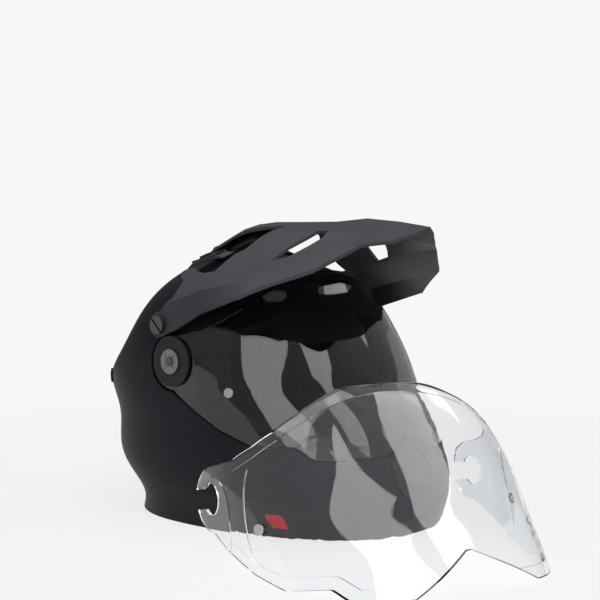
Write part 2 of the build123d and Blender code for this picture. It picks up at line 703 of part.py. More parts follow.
def peak():
    """Moulded peak: a ridged roof, a strip back over the crown and an arm down each side."""
    body = Solid.make_loft([peak_section(row) for row in PEAK_SHARES], ruled=True)
    right = [(PEAK_HALF_WIDTH * x, -PEAK_TIP_REACH * y) for x, y in PEAK_FRONT_SHARES]
    rear = 2 * PEAK_TIP_REACH
    wide = PEAK_HALF_WIDTH + OVERRUN
    outline = right[:-1] + [(wide, right[-1][1]), (wide, rear), (-wide, rear), (-wide, right[-1][1])]
    outline += [(-x, y) for x, y in reversed(right[1:-1])]
    body &= extrude(polygon(outline), amount=2 * PEAK_HEIGHT)
    body &= block(-wide, wide, -2 * PEAK_TIP_REACH, TOP_BRACKET_REAR + TOP_BRACKET_LENGTH / 2, 0, 2 * PEAK_HEIGHT)
    arm = (PEAK_ARM_REAR, PEAK_ARM_HEIGHT)
    behind = polygon([
        (PEAK_WING_REAR, 2 * PEAK_HEIGHT),
        (PEAK_WING_REAR, PEAK_ARM_HEIGHT + PEAK_WING_BASE),
        (PEAK_ARM_NECK_REAR, PEAK_ARM_HEIGHT + PEAK_ARM_NECK_RISE),
        (PEAK_ARM_WAIST_REAR, PEAK_ARM_HEIGHT + PEAK_ARM_WAIST_RISE),
        (PEAK_ARM_REAR, PEAK_ARM_HEIGHT + PEAK_ARM_RADIUS),
        (PEAK_ARM_REAR, 0),
        (2 * REAR_REACH, 0),
        (2 * REAR_REACH, 2 * PEAK_HEIGHT),
    ]) - Pos(*arm) * Circle(PEAK_ARM_RADIUS)
    behind = side_prism(behind) - block(-PEAK_STRIP_HALF_WIDTH, PEAK_STRIP_HALF_WIDTH,
                                        0, 2 * REAR_REACH, 0, 3 * PEAK_HEIGHT)
    body -= behind
    for shares in (PEAK_SLOT_SHARES, PEAK_GAP_SHARES):
        opening = peak_plan(shares) - block(-PEAK_STRIP_HALF_WIDTH, PEAK_STRIP_HALF_WIDTH,
                                            -PEAK_TIP_REACH, 2 * REAR_REACH, 0, 3 * PEAK_HEIGHT)
        body -= opening
        body -= mirrored(opening)
    for side in (-1, 1):
        body -= side_bore(side, PEAK_SCREW_SHANK_RADIUS + SEAT_GAP, *arm)
    body += top_screw_place() * Pos(0, 0, -PEAK_THICKNESS / 2) * Cylinder(TOP_PAD_RADIUS, PEAK_THICKNESS)
    return body - top_screw_shank(SEAT_GAP)


def top_screw_place():
    """Frame on the pad of the peak's strip, with Z along the top screw."""
    (y0, z0), (y1, z1) = [(PEAK_TIP_REACH * row[0], PEAK_HEIGHT * row[1]) for row in PEAK_SHARES[-2:]]
    slope = math.atan2(z1 - z0, y1 - y0)
    z = z0 + (TOP_BRACKET_REAR - y0) * math.tan(slope) + TOP_PAD_PROUD
    return Pos(0, TOP_BRACKET_REAR, z) * Rot(math.degrees(slope), 0, 0)


def top_screw_shank(gap=0):
    """Shank of the top screw, with a gap round it."""
    return top_screw_place() * Pos(0, 0, -TOP_SCREW_LENGTH / 2) * Cylinder(TOP_SCREW_SHANK_RADIUS + gap,
                                                                           TOP_SCREW_LENGTH)


def top_screw():
    """Screw through the peak's strip into its foot."""
    head = top_screw_place() * Pos(0, 0, TOP_SCREW_HEAD / 2) * Cylinder(TOP_SCREW_RADIUS, TOP_SCREW_HEAD)
    socket = top_screw_place() * Pos(0, 0, TOP_SCREW_HEAD) * extrude(
        RegularPolygon(TOP_SCREW_SHANK_RADIUS * 0.8, 6), amount=-TOP_SCREW_HEAD * 0.6)
    return head + top_screw_shank() - socket


def peak_boss(side):
    """Threaded boss in the shell that carries one arm of the peak."""
    y, z = PEAK_ARM_REAR, PEAK_ARM_HEIGHT
    outer = side * (PEAK_HALF_WIDTH - 1.5 * PEAK_THICKNESS)
    boss = cylinder_x(PEAK_BOSS_RADIUS, side * (SHIELD_HALF_WIDTH - PEAK_BOSS_LENGTH), outer, y, z)
    shank = outer - side * PEAK_SCREW_LENGTH
    return boss - cylinder_x(PEAK_SCREW_SHANK_RADIUS + SEAT_GAP / 2, shank, outer + side * OVERRUN, y, z)


def peak_screw(side):
    """Hand screw of one arm, with a coin slot."""
    y, z = PEAK_ARM_REAR, PEAK_ARM_HEIGHT
    face = side * (PEAK_HALF_WIDTH + SEAT_GAP)
    inner = side * (PEAK_HALF_WIDTH - PEAK_THICKNESS - PEAK_SCREW_LENGTH)
    head = cylinder_x(PEAK_SCREW_RADIUS, face, face + side * PEAK_SCREW_HEAD, y, z)
    shank = cylinder_x(PEAK_SCREW_SHANK_RADIUS, inner, face, y, z)
    x0, x1 = sorted((face + side * (PEAK_SCREW_HEAD - PEAK_SCREW_SLOT_DEPTH), face + side * OVERRUN))
    slot = block(x0, x1, -OVERRUN, OVERRUN, -PEAK_SCREW_SLOT / 2, PEAK_SCREW_SLOT / 2)
    return head + shank - Pos(0, y, z) * Rot(PEAK_SCREW_SLOT_TURN, 0, 0) * slot


def top_bracket():
    """Foot between the crown and the peak's strip."""
    wide = TOP_BRACKET_WIDTH / 2
    y0, y1 = TOP_BRACKET_REAR - TOP_BRACKET_LENGTH / 2, TOP_BRACKET_REAR + TOP_BRACKET_LENGTH / 2 - SEAT_GAP
    foot = block(-wide, wide, y0, y1, SHELL_HEIGHT * 0.8, 2 * PEAK_HEIGHT) - skin(-SEAT_GAP)
    under = Solid.make_loft([peak_under(row) for row in PEAK_SHARES[-3:]], ruled=True)
    return (foot & under) - top_screw_place() * Pos(0, 0, -PEAK_THICKNESS) * Cylinder(
        TOP_PAD_RADIUS + SEAT_GAP, PEAK_THICKNESS) - top_screw_shank(SEAT_GAP / 2)


def peak_under(row):
    """Closed outline of the space below the peak's strip at one station."""
    y, ridge, first, *_ = row
    chain = [(-PEAK_HALF_WIDTH * first[0], PEAK_HEIGHT * first[1]), (0, PEAK_HEIGHT * ridge),
             (PEAK_HALF_WIDTH * first[0], PEAK_HEIGHT * first[1])]
    top = moved_in(chain, PEAK_THICKNESS + SEAT_GAP)
    ring = top + [(top[-1][0], SHELL_HEIGHT / 2), (top[0][0], SHELL_HEIGHT / 2)]
    return Wire.make_polygon([Vector(x, PEAK_TIP_REACH * y, z) for x, z in ring])


def eps_liner():
    """Energy-absorbing foam cap inside the shell."""
    rear = REAR_REACH + OVERRUN
    region = polygon([
        (rear, REAR_EPS_BASE),
        (NECK_ROLL_FORE, REAR_EPS_BASE),
        (NECK_ROLL_FORE, CHEEK_PAD_TOP * 0.65),
        (CHEEK_PAD_REAR + SEAT_GAP, CHEEK_PAD_TOP * 0.65),
        (CHEEK_PAD_REAR + SEAT_GAP, CHEEK_PAD_TOP + SEAT_GAP),
        (-CHIN_REACH, CHEEK_PAD_TOP + SEAT_GAP),
        (-CHIN_REACH, SHELL_HEIGHT + OVERRUN),
        (rear, SHELL_HEIGHT + OVERRUN),
    ])
    body = skin(EPS_DEPTH) & side_prism(region)
    body -= head_space(0)
    body -= front_prism(eyeport_face(GASKET_WIDTH), -EPS_EYEPORT_FORE)
    for side in (-1, 1):
        body -= side_bore(side, PEAK_BOSS_RADIUS + SEAT_GAP, PEAK_ARM_REAR, PEAK_ARM_HEIGHT)
        body -= side_bore(side, PIVOT_NUT_RADIUS + SEAT_GAP)
    return body


@lru_cache(maxsize=None)
def head_space(depth):
    return egg(inset(stations(HEAD_SHARES), depth))


@lru_cache(maxsize=None)
def face_space():
    return egg(stations(FACE_SHARES))


def crown_liner():
    """Comfort liner over the top of the head."""
    wide, base = HALF_WIDTH, EYEPORT_TOP * 0.87
    region = block(-wide, wide, -CHIN_REACH, REAR_REACH, base, SHELL_HEIGHT)
    return (head_space(SEAT_GAP) & region) - head_space(SEAT_GAP + LINER_THICKNESS)


def rear_liner():
    """Comfort liner round the back of the head."""
    region = block(-HALF_WIDTH, HALF_WIDTH, STRAP_REAR + STRAP_WIDTH, REAR_REACH,
                   REAR_EPS_BASE + SEAT_GAP, EYEPORT_TOP * 0.87 - SEAT_GAP)
    return (head_space(SEAT_GAP) & region) - head_space(SEAT_GAP + LINER_THICKNESS)


def cheek_pad():
    """Left cheek pad."""
    region = polygon([
        (CHEEK_PAD_REAR, CHEEK_PAD_BASE + CHEEK_PAD_HEEL),
        (CHEEK_PAD_REAR, CHEEK_PAD_TOP),
        (-CHEEK_PAD_FORE * 0.4, CHEEK_PAD_TOP),
        (-CHEEK_PAD_FORE, EYEPORT_BOTTOM - GASKET_WIDTH - CHEEK_PAD_HEEL),
        (-CHEEK_PAD_FORE, CHEEK_PAD_BASE + CHEEK_PAD_TOE),
        (-CHEEK_PAD_FORE * 0.3, CHEEK_PAD_BASE),
    ], PAD_CORNER)
    prism = extrude(Plane.YZ * region, amount=HALF_WIDTH + OVERRUN)
    return (skin(EPS_DEPTH) & prism) - face_space()


def chin_eps():
    """Foam block inside the chin bar."""
    wide = HALF_WIDTH + OVERRUN
    region = block(-wide, wide, -CHIN_REACH - OVERRUN, -CHEEK_PAD_FORE - SEAT_GAP, CHIN_EPS_BASE, CHIN_EPS_TOP)
    body = (skin(SHELL_WALL + SEAT_GAP) & region) - skin(SHELL_WALL + SEAT_GAP + CHIN_EPS_THICKNESS)
    body -= rebate_space(SHELL_WALL + 2 * SEAT_GAP)
    body -= shutter_space()
    return body - front_prism(chin_window(), -CHEEK_PAD_FORE)


def neck_roll():
    """Padded roll round the back of the neck."""
    region = block(-HALF_WIDTH, HALF_WIDTH, NECK_ROLL_FORE + SEAT_GAP, REAR_REACH,
                   TRIM_LIP + SEAT_GAP, REAR_EPS_BASE - SEAT_GAP)
    return (skin(SHELL_WALL + SEAT_GAP) & region) - face_space()


def breath_deflector():
    """Nose guard clipped behind the chin bar."""
    wide, low, high = DEFLECTOR_HALF_WIDTH, DEFLECTOR_BASE, DEFLECTOR_TOP
    shoulder = high - DEFLECTOR_SHOULDER
    face = polygon([
        (-wide, low), (wide, low), (wide * 0.75, shoulder), (wide * 0.3, high),
        (-wide * 0.3, high), (-wide * 0.75, shoulder),
    ], PAD_CORNER)
    depth = SHELL_WALL + 2 * SEAT_GAP + CHIN_EPS_THICKNESS
    body = (skin(depth) & front_prism(face, -CHEEK_PAD_FORE)) - skin(depth + DEFLECTOR_THICKNESS)
    knob = SHUTTER_KNOB + 2 * SEAT_GAP
    low = CHIN_WINDOW_BASE - SHUTTER_TRAVEL
    return body - block(-knob, knob, -CHIN_REACH, 0, low, CHIN_WINDOW_BASE + SHUTTER_HEIGHT + SHUTTER_KNOB)


def chin_curtain():
    """Fabric wind curtain across the front of the neck opening."""
    wide = CURTAIN_HALF_WIDTH
    region = block(-wide, wide, -CHIN_REACH, -CHEEK_PAD_FORE * 1.35,
                   TRIM_LIP + SEAT_GAP, TRIM_LIP + SEAT_GAP + CURTAIN_THICKNESS)
    return skin(SHELL_WALL + SEAT_GAP) & region


def strap_side(z):
    """Place of the strap's outer face along X at a height near the shell."""
    return side_at(STRAP_REAR, z) - SHELL_WALL - 2 * SEAT_GAP - ANCHOR_THICKNESS


def strap_end():
    """Place along X and height of the middle of the loop at the strap's end."""
    return strap_side(STRAP_TURN_HEIGHT) - STRAP_REACH, STRAP_LOW + LOOP_HEIGHT / 2


def slot_prism(length, height):
    """Oblong prism along Y at the loop, from its outer end inward."""
    x, z = strap_end()
    face = SlotCenterToCenter(length, height)
    return Pos(x - length / 2, STRAP_REAR, z) * Rot(90, 0, 0) * extrude(face, amount=STRAP_WIDTH / 2, both=True)


def strap_run(side):
    """Webbing from its anchor down the shell and into the neck opening."""
    end = strap_end()[0]
    low = strap_side(STRAP_TURN_HEIGHT)
    line = [
        (strap_side(STRAP_ANCHOR_LOW), STRAP_ANCHOR_TOP),
        (strap_side(STRAP_ANCHOR_LOW), STRAP_ANCHOR_LOW),
        (low, STRAP_TURN_HEIGHT),
        (low - (low - end) / 3, STRAP_LOW * 2),
        (end + LOOP_HEIGHT / 2, STRAP_LOW),
        (end, STRAP_LOW),
    ]
    points = line + list(reversed(moved_in(line, STRAP_THICKNESS)))
    face = polygon([(side * x, z) for x, z in points])
    run = extrude(Plane.XZ.offset(-STRAP_REAR) * face, amount=STRAP_WIDTH / 2, both=True)
    return run - rivet_shank(side, SEAT_GAP)


def rivet_shank(side, gap=0):
    """Shank of the rivet through one strap."""
    outer = strap_side(STRAP_ANCHOR_LOW)
    height = (STRAP_ANCHOR_LOW + STRAP_ANCHOR_TOP) / 2
    return cylinder_x(RIVET_SHANK_RADIUS + gap, side * (outer - STRAP_THICKNESS - SEAT_GAP),
                      side * (outer + ANCHOR_THICKNESS), STRAP_REAR, height)


def strap_anchor(side):
    """Steel anchor plate inside the shell, with the rivet that holds one strap."""
    outer = strap_side(STRAP_ANCHOR_LOW)
    height = (STRAP_ANCHOR_LOW + STRAP_ANCHOR_TOP) / 2
    x0, x1 = sorted((side * (outer + SEAT_GAP), side * HALF_WIDTH))
    plate = block(x0, x1, STRAP_REAR - ANCHOR_WIDTH / 2, STRAP_REAR + ANCHOR_WIDTH / 2,
                  STRAP_ANCHOR_LOW, STRAP_ANCHOR_TOP) & skin(SHELL_WALL + SEAT_GAP)
    face = outer - STRAP_THICKNESS - SEAT_GAP
    head = cylinder_x(RIVET_RADIUS, side * (face - RIVET_THICKNESS), side * face, STRAP_REAR, height)
    return plate + head + rivet_shank(side)


def strap_left():
    """Left strap with the sewn loop that carries both rings."""
    loop = slot_prism(LOOP_LENGTH, LOOP_HEIGHT)
    return strap_run(1) + loop - slot_prism(LOOP_LENGTH, LOOP_HEIGHT - 2 * LOOP_WALL)


def strap_right():
    """Right strap with the sewn stop at its end."""
    x, _ = strap_end()
    stop = block(-x, -x + STRAP_STOP, STRAP_REAR - STRAP_WIDTH / 2, STRAP_REAR + STRAP_WIDTH / 2,
                 STRAP_LOW, STRAP_LOW + 2 * STRAP_THICKNESS)
    return strap_run(-1) + stop


def d_ring(back, length, half):
    """Flat ring round the loop: its bar's place behind the loop's end, length and inner half width."""
    x, z = strap_end()
    outer = RectangleRounded(length, 2 * half + 2 * D_RING_WIRE, D_RING_WIRE)
    inner = RectangleRounded(length - 2 * D_RING_WIRE, 2 * half, D_RING_WIRE / 2)
    ring = extrude(outer - inner, amount=D_RING_WIRE / 2, both=True)
    return Pos(x - back - length / 2 + D_RING_WIRE / 2, STRAP_REAR, z) * ring


@lru_cache(maxsize=None)
def crown_height(x, y):
    """Height of the shell's outer surface above a place in plan."""
    plumb = Edge.make_line((x, y, SHELL_HEIGHT / 2), (x, y, SHELL_HEIGHT + OVERRUN))
    return max(end.Z for end in skin(0).intersect(plumb).vertices())


def vent_place(side):
    """Frame of one crown vent, with Y along its slider's way and Z out of the crown."""
    x, y, step = VENT_ASIDE, VENT_REAR, VENT_WIDTH / 2
    fall = crown_height(x, y - step) - crown_height(x, y + step)
    lean = crown_height(x - step, y) - crown_height(x + step, y)
    pitch, roll = [math.degrees(math.atan2(drop, 2 * step)) for drop in (fall, lean)]
    return Pos(side * x, y, crown_height(x, y)) * Rot(-pitch, 0, 0) * Rot(0, side * roll, 0)


def vent_base(side):
    """Scoop base bonded to the crown, with rails for its slider."""
    half, flat, top = VENT_LENGTH / 2, VENT_FLAT / 2, VENT_BASE_HEIGHT
    profile = polygon([(-half, -OVERRUN), (-half, -top), (-flat, top), (flat, top), (half, -top), (half, -OVERRUN)])
    body = extrude(Plane.YZ * profile, amount=VENT_WIDTH / 2, both=True)
    rail = SLIDER_WIDTH / 2 + SEAT_GAP
    for edge in (-1, 1):
        x0, x1 = sorted((edge * rail, edge * VENT_WIDTH / 2))
        body += block(x0, x1, -flat, flat, 0, top + SLIDER_HEIGHT)
    return vent_place(side) * body - skin(-SEAT_GAP / 3)


def crown_slider(side):
    """Slider between the rails, with a grip ridge at its rear."""
    low = VENT_BASE_HEIGHT + SEAT_GAP
    front = -VENT_FLAT / 2 + SEAT_GAP
    half = SLIDER_WIDTH / 2
    rear = -front - SLIDER_TRAVEL
    body = block(-half, half, front, rear, low, low + SLIDER_HEIGHT)
    for i in range(SLIDER_RIDGES):
        y = rear - (2 * i + 1) * SLIDER_RIDGE
        body += block(-half, half, y - SLIDER_RIDGE / 2, y + SLIDER_RIDGE / 2, low, low + SLIDER_HEIGHT + SLIDER_RIDGE)
    return vent_place(side) * body


def rear_vent(side):
    """Exhaust cover on one rear quarter of the shell."""
    y, half, wide = REAR_VENT_REAR, REAR_VENT_LENGTH / 2, REAR_VENT_WIDTH / 2
    face = polygon([
        (y - half, REAR_VENT_HEIGHT - wide / 2),
        (y + half, REAR_VENT_HEIGHT - wide),
        (y + half, REAR_VENT_HEIGHT + wide / 2),
        (y - half / 2, REAR_VENT_HEIGHT + wide),
    ])
    prism = extrude(Plane.YZ * face, amount=side * (HALF_WIDTH + OVERRUN))
    return (skin(-REAR_VENT_PROUD) & prism) - skin(0)


def spare_place(pane):
    """Move from the worn shield's place to the spare's: turned, tipped back and set on the floor."""
    turn = Rot(0, 0, SPARE_TURN) * Rot(-SPARE_TIP, 0, 0) * Pos(0, PIVOT_FORE, -PIVOT_HEIGHT)
    return Pos(SPARE_ASIDE, -SPARE_FORE, -(turn * pane).bounding_box().min.Z) * turn


def main():
    os.makedirs("parts", exist_ok=True)
    blank = shield()
    spare = blank - notch(0, SPARE_NOTCH_HALF_WIDTH, SPARE_NOTCH_RISE, SPARE_NOTCH_CORNER)
    place = spare_place(spare)
    pins = [lens_pin(side) for side in (-1, 1)]
    save("outer_shell", shell())
    save("base_trim", base_trim())
    save("trim_tab", trim_tab())
    save("eyeport_gasket", gasket())
    save("smoke_shield", blank - notch())
    save("shield_lens_pins", *pins)
    save("spare_shield", place * spare)
    save("spare_lens_pins", *[place * pin for pin in pins])
    for name, side in (("right", -1), ("left", 1)):
        save("pivot_plate_" + name, pivot_plate(side))
        save("pivot_cover_" + name, pivot_cover(side))
        save("pivot_disc_" + name, pivot_disc(side))
        save("peak_screw_" + name, peak_screw(side))
        save("crown_slider_" + name, crown_slider(side))
    save("pivot_screws", *[pivot_screw(side) for side in (-1, 1)])
    save("peak", peak())
    save("peak_bosses", *[peak_boss(side) for side in (-1, 1)])
    save("peak_top_bracket", top_bracket())
    save("peak_top_screw", top_screw())
    save("crown_vent_bases", *[vent_base(side) for side in (-1, 1)])
    save("rear_vent_covers", *[rear_vent(side) for side in (-1, 1)])
    save("chin_vent_panel", chin_panel())
    save("chin_vent_mesh", chin_mesh(chin_window(-SEAT_GAP)), chin_mesh(chin_upper_window(-SEAT_GAP)))
    save("chin_vent_shutter", shutter())
    save("eps_liner", eps_liner())
    save("crown_liner", crown_liner())
    save("rear_liner", rear_liner())
    pad = cheek_pad()
    save("cheek_pad_left", pad)
    save("cheek_pad_right", mirrored(pad))
    save("chin_eps", chin_eps())
    save("neck_roll", neck_roll())
    save("breath_deflector", breath_deflector())
    save("chin_curtain", chin_curtain())
    save("strap_left", strap_left())
    save("strap_right", strap_right())
    save("strap_anchors", *[strap_anchor(side) for side in (-1, 1)])
    save("d_ring_long", d_ring(0, D_RING_LENGTH + D_RING_STEP, D_RING_HALF + D_RING_WIRE + SEAT_GAP * 2))
    save("d_ring_short", d_ring(LOOP_LENGTH, D_RING_LENGTH - LOOP_LENGTH, D_RING_HALF))


if __name__ == "__main__":
    main()
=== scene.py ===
# %% [markdown]
# # A dual sport helmet
#
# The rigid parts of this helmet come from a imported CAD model, which stays exactly where it is. This
# lesson dresses it: every surface gets a procedural finish, and the padding, the webbing and the
# other soft parts are modelled as cloth and foam. Lengths are metres, and the front is -Y.

# %% Load the frame
import math
import bmesh
import bpy
from mathutils import Matrix, Vector
from mathutils.bvhtree import BVHTree


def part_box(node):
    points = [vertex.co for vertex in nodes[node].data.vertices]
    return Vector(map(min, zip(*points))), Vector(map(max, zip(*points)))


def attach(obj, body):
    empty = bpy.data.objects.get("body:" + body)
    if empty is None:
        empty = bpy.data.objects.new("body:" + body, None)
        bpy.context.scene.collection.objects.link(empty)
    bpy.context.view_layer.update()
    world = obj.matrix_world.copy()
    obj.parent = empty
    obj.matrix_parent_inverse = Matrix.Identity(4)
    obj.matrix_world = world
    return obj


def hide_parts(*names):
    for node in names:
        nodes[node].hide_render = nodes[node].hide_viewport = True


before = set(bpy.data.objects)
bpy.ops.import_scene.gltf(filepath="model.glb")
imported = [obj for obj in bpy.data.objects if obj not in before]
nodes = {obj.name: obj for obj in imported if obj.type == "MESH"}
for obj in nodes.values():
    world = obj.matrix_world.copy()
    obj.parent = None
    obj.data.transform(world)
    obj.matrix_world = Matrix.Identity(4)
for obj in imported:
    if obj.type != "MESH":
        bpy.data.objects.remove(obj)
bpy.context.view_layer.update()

mm = 0.001

# %% [markdown]
# ## The camera
#
# The photograph looks at the helmet's right front, a little above the middle of the shell, with a
# lens long enough to keep the peak and the chin in proportion. The camera's place comes from the
# mirrored points of the helmet: the two edges of the peak and the two pivots.

# %% Stand the camera at the photograph's place
camera_place = Vector((-0.8142, -0.7462, 0.228))
camera_azimuth = math.radians(-49)
camera_pitch = math.radians(2)
lens_length = 72
film_width = 36
camera_data = bpy.data.cameras.new("camera")
camera_data.lens = lens_length
camera_data.sensor_width = film_width
camera = bpy.data.objects.new("camera", camera_data)
camera.location = camera_place
camera.rotation_euler = (math.pi / 2 - camera_pitch, 0, camera_azimuth)
bpy.context.collection.objects.link(camera)
bpy.context.scene.camera = camera
print("camera", round(camera_place.length, 3), "m from the middle of the neck opening")

# %% [markdown]
# ## The ground and the world
#
# The product stands on a plain pale ground that runs into the background with no horizon. The
# ground's colour, as the camera and the clear shields see it, is set in the materials, so that the
# lamps can stay at a plain level. Near the helmet a share of the floor's real shading is let through,
# which keeps a faint contact shadow. The share fades out with distance.

# %% Show the ground colour behind the object
scene = bpy.context.scene
scene.view_settings.view_transform = "Standard"
ground_colour = (0.930, 0.930, 0.932, 1)
room_level = 0.20


def seen_by(tree, *rays):
    """One where any of these kinds of ray looks at the surface."""
    path = tree.nodes.new("ShaderNodeLightPath")
    result = path.outputs[rays[0]]
    for ray in rays[1:]:
        either = tree.nodes.new("ShaderNodeMath")
        either.operation = "MAXIMUM"
        tree.links.new(result, either.inputs[0])
        tree.links.new(path.outputs[ray], either.inputs[1])
        result = either.outputs[0]
    return result


def mix_shaders(tree, factor, first, second):
    """A mix of two shaders by a socket or a plain share."""
    mix = tree.nodes.new("ShaderNodeMixShader")
    if isinstance(factor, float):
        mix.inputs[0].default_value = factor
    else:
        tree.links.new(factor, mix.inputs[0])
    tree.links.new(first, mix.inputs[1])
    tree.links.new(second, mix.inputs[2])
    return mix.outputs[0]


world = bpy.data.worlds.new("studio")
scene.world = world
world.use_nodes = True
tree = world.node_tree
tree.nodes.clear()
room = tree.nodes.new("ShaderNodeBackground")
room.inputs["Strength"].default_value = room_level
room.inputs["Color"].default_value = (1, 1, 1, 1)
plain = tree.nodes.new("ShaderNodeBackground")
plain.inputs["Color"].default_value = ground_colour
output = tree.nodes.new("ShaderNodeOutputWorld")
behind = seen_by(tree, "Is Camera Ray", "Is Transmission Ray")
tree.links.new(mix_shaders(tree, behind, room.outputs[0], plain.outputs[0]), output.inputs[0])

# %% Lay the floor
floor_half = 9
floor_drop = 0.2 * mm
floor_colour = (0.90, 0.90, 0.905, 1)
near_reach = 0.30
far_reach = 1.0
shading_share = 0.16


def mesh_from(bm, name):
    """A mesh with the shape of a bmesh, which is freed."""
    mesh = bpy.data.meshes.new(name)
    bm.to_mesh(mesh)
    bm.free()
    return mesh


bm = bmesh.new()
bmesh.ops.create_grid(bm, x_segments=1, y_segments=1, size=floor_half)
floor = bpy.data.objects.new("floor", mesh_from(bm, "floor"))
bpy.context.collection.objects.link(floor)
floor.location.z = -floor_drop

# %% Fade the floor's shading with distance
floor_look = bpy.data.materials.new("floor")
floor_look.use_nodes = True
tree = floor_look.node_tree
tree.nodes.clear()
lit = tree.nodes.new("ShaderNodeBsdfDiffuse")
lit.inputs["Color"].default_value = floor_colour
glow = tree.nodes.new("ShaderNodeEmission")
glow.inputs["Color"].default_value = ground_colour
coords = tree.nodes.new("ShaderNodeTexCoord")
distance = tree.nodes.new("ShaderNodeVectorMath")
distance.operation = "LENGTH"
tree.links.new(coords.outputs["Object"], distance.inputs[0])
fade = tree.nodes.new("ShaderNodeMapRange")
fade.interpolation_type = "SMOOTHSTEP"
fade.inputs["From Min"].default_value = near_reach
fade.inputs["From Max"].default_value = far_reach
fade.inputs["To Min"].default_value = 1 - shading_share
fade.inputs["To Max"].default_value = 1
tree.links.new(distance.outputs["Value"], fade.inputs["Value"])
shown = mix_shaders(tree, fade.outputs["Result"], lit.outputs[0], glow.outputs[0])
behind = seen_by(tree, "Is Camera Ray", "Is Transmission Ray", "Is Glossy Ray")
output = tree.nodes.new("ShaderNodeOutputMaterial")
tree.links.new(mix_shaders(tree, behind, lit.outputs[0], shown), output.inputs[0])
floor.data.materials.append(floor_look)
print("floor fades from", near_reach, "to", far_reach, "m")

# %% [markdown]
# ## The lamps
#
# Two long strip softboxes lean over the front of the helmet. Their places come from the photograph:
# a ray from the camera, turned back by a shield's surface at the edges of each bright band, points
# at the edge of the softbox that made it. Both shields gave nearly the same two strips, one over
# the helmet's right shoulder and one over its left. A panel overhead lights the peak, and a small
# lamp on the left gives the spots under it.


# %% Hang the lamps
def softbox(name, place, along, size, brightness):
    """A softbox that faces the helmet, with its long side along a direction."""
    away = (Vector(place) - helmet_middle).normalized()
    side = Vector(along).cross(away).normalized()
    data = bpy.data.lights.new(name, "AREA")
    data.shape = "RECTANGLE"
    data.size, data.size_y = size
    data.energy = brightness * math.pi * size[0] * size[1]
    lamp = bpy.data.objects.new(name, data)
    lamp.location = place
    lamp.rotation_euler = Matrix((side, away.cross(side), away)).transposed().to_euler()
    lamp.visible_camera = False
    bpy.context.collection.objects.link(lamp)
    print(name, size, "m,", round(data.energy, 1), "W")


helmet_middle = Vector((0, -0.02, 0.13))
softbox("right_strip", (-0.955, -0.975, 1.195), (0.745, -0.05, 0.668), (0.75, 2.6), 2.8)
softbox("left_strip", (0.62, -0.98, 1.45), (0.567, 0.756, 0.328), (0.42, 1.7), 2.8)
softbox("overhead", (-0.1, 0.45, 1.9), (1, 0, 0), (1.7, 1.7), 1.5)
softbox("left_spot", (1.36, -0.3, 1.22), (0, 1, 0), (0.28, 0.5), 1.6)

# %% [markdown]
# ## Hard finishes
#
# Every finish below starts from one Principled shader. Its colour drifts a little from place to
# place, and a fine bump gives paint its orange peel, moulded plastic its grain and foam its beads.
# The patterns read Object coordinates, so they stay fixed to each piece.


# %% Helpers that build a finish
def start_finish(name, colour, roughness, metallic=0.0):
    """A material with one Principled shader, and the nodes to build on."""
    look = bpy.data.materials.new(name)
    look.use_nodes = True
    tree = look.node_tree
    shader = tree.nodes["Principled BSDF"]
    shader.inputs["Base Color"].default_value = (*colour, 1)
    shader.inputs["Roughness"].default_value = roughness
    shader.inputs["Metallic"].default_value = metallic
    coords = tree.nodes.new("ShaderNodeTexCoord")
    return look, tree, shader, coords


def add_noise(tree, coords, scale, detail=2.0, stretch=(1, 1, 1)):
    """A noise texture in metres on Object coordinates."""
    mapping = tree.nodes.new("ShaderNodeMapping")
    mapping.inputs["Scale"].default_value = stretch
    tree.links.new(coords.outputs["Object"], mapping.inputs["Vector"])
    noise = tree.nodes.new("ShaderNodeTexNoise")
    noise.inputs["Scale"].default_value = scale
    noise.inputs["Detail"].default_value = detail
    tree.links.new(mapping.outputs["Vector"], noise.inputs["Vector"])
    return noise


def add_cells(tree, coords, scale, randomness=1.0):
    """A Voronoi texture in metres on Object coordinates."""
    cells = tree.nodes.new("ShaderNodeTexVoronoi")
    cells.inputs["Scale"].default_value = scale
    cells.inputs["Randomness"].default_value = randomness
    tree.links.new(coords.outputs["Object"], cells.inputs["Vector"])
    return cells


def add_bump(tree, shader, height, strength, distance):
    """A bump driven by a height output."""
    bump = tree.nodes.new("ShaderNodeBump")
    bump.inputs["Strength"].default_value = strength
    bump.inputs["Distance"].default_value = distance
    tree.links.new(height, bump.inputs["Height"])
    tree.links.new(bump.outputs["Normal"], shader.inputs["Normal"])


def vary_colour(tree, shader, factor, dark, light):
    """Lets a factor drift the base colour between two tones."""
    tones = tree.nodes.new("ShaderNodeMix")
    tones.data_type = "RGBA"
    tones.inputs["A"].default_value = (*dark, 1)
    tones.inputs["B"].default_value = (*light, 1)
    tree.links.new(factor, tones.inputs["Factor"])
    tree.links.new(tones.outputs["Result"], shader.inputs["Base Color"])


def remap(tree, factor, low, high, start=0.0, end=1.0):
    """A factor brought from one range to another, clamped at its ends."""
    span = tree.nodes.new("ShaderNodeMapRange")
    span.inputs["From Min"].default_value = start
    span.inputs["From Max"].default_value = end
    span.inputs["To Min"].default_value = low
    span.inputs["To Max"].default_value = high
    tree.links.new(factor, span.inputs["Value"])
    return span.outputs["Result"]


def vary_roughness(tree, shader, factor, low, high):
    """Lets a factor drift the roughness between two values."""
    tree.links.new(remap(tree, factor, low, high), shader.inputs["Roughness"])


# %% Matt paint for the shell and the peak
fine_relief = 0.1 * mm


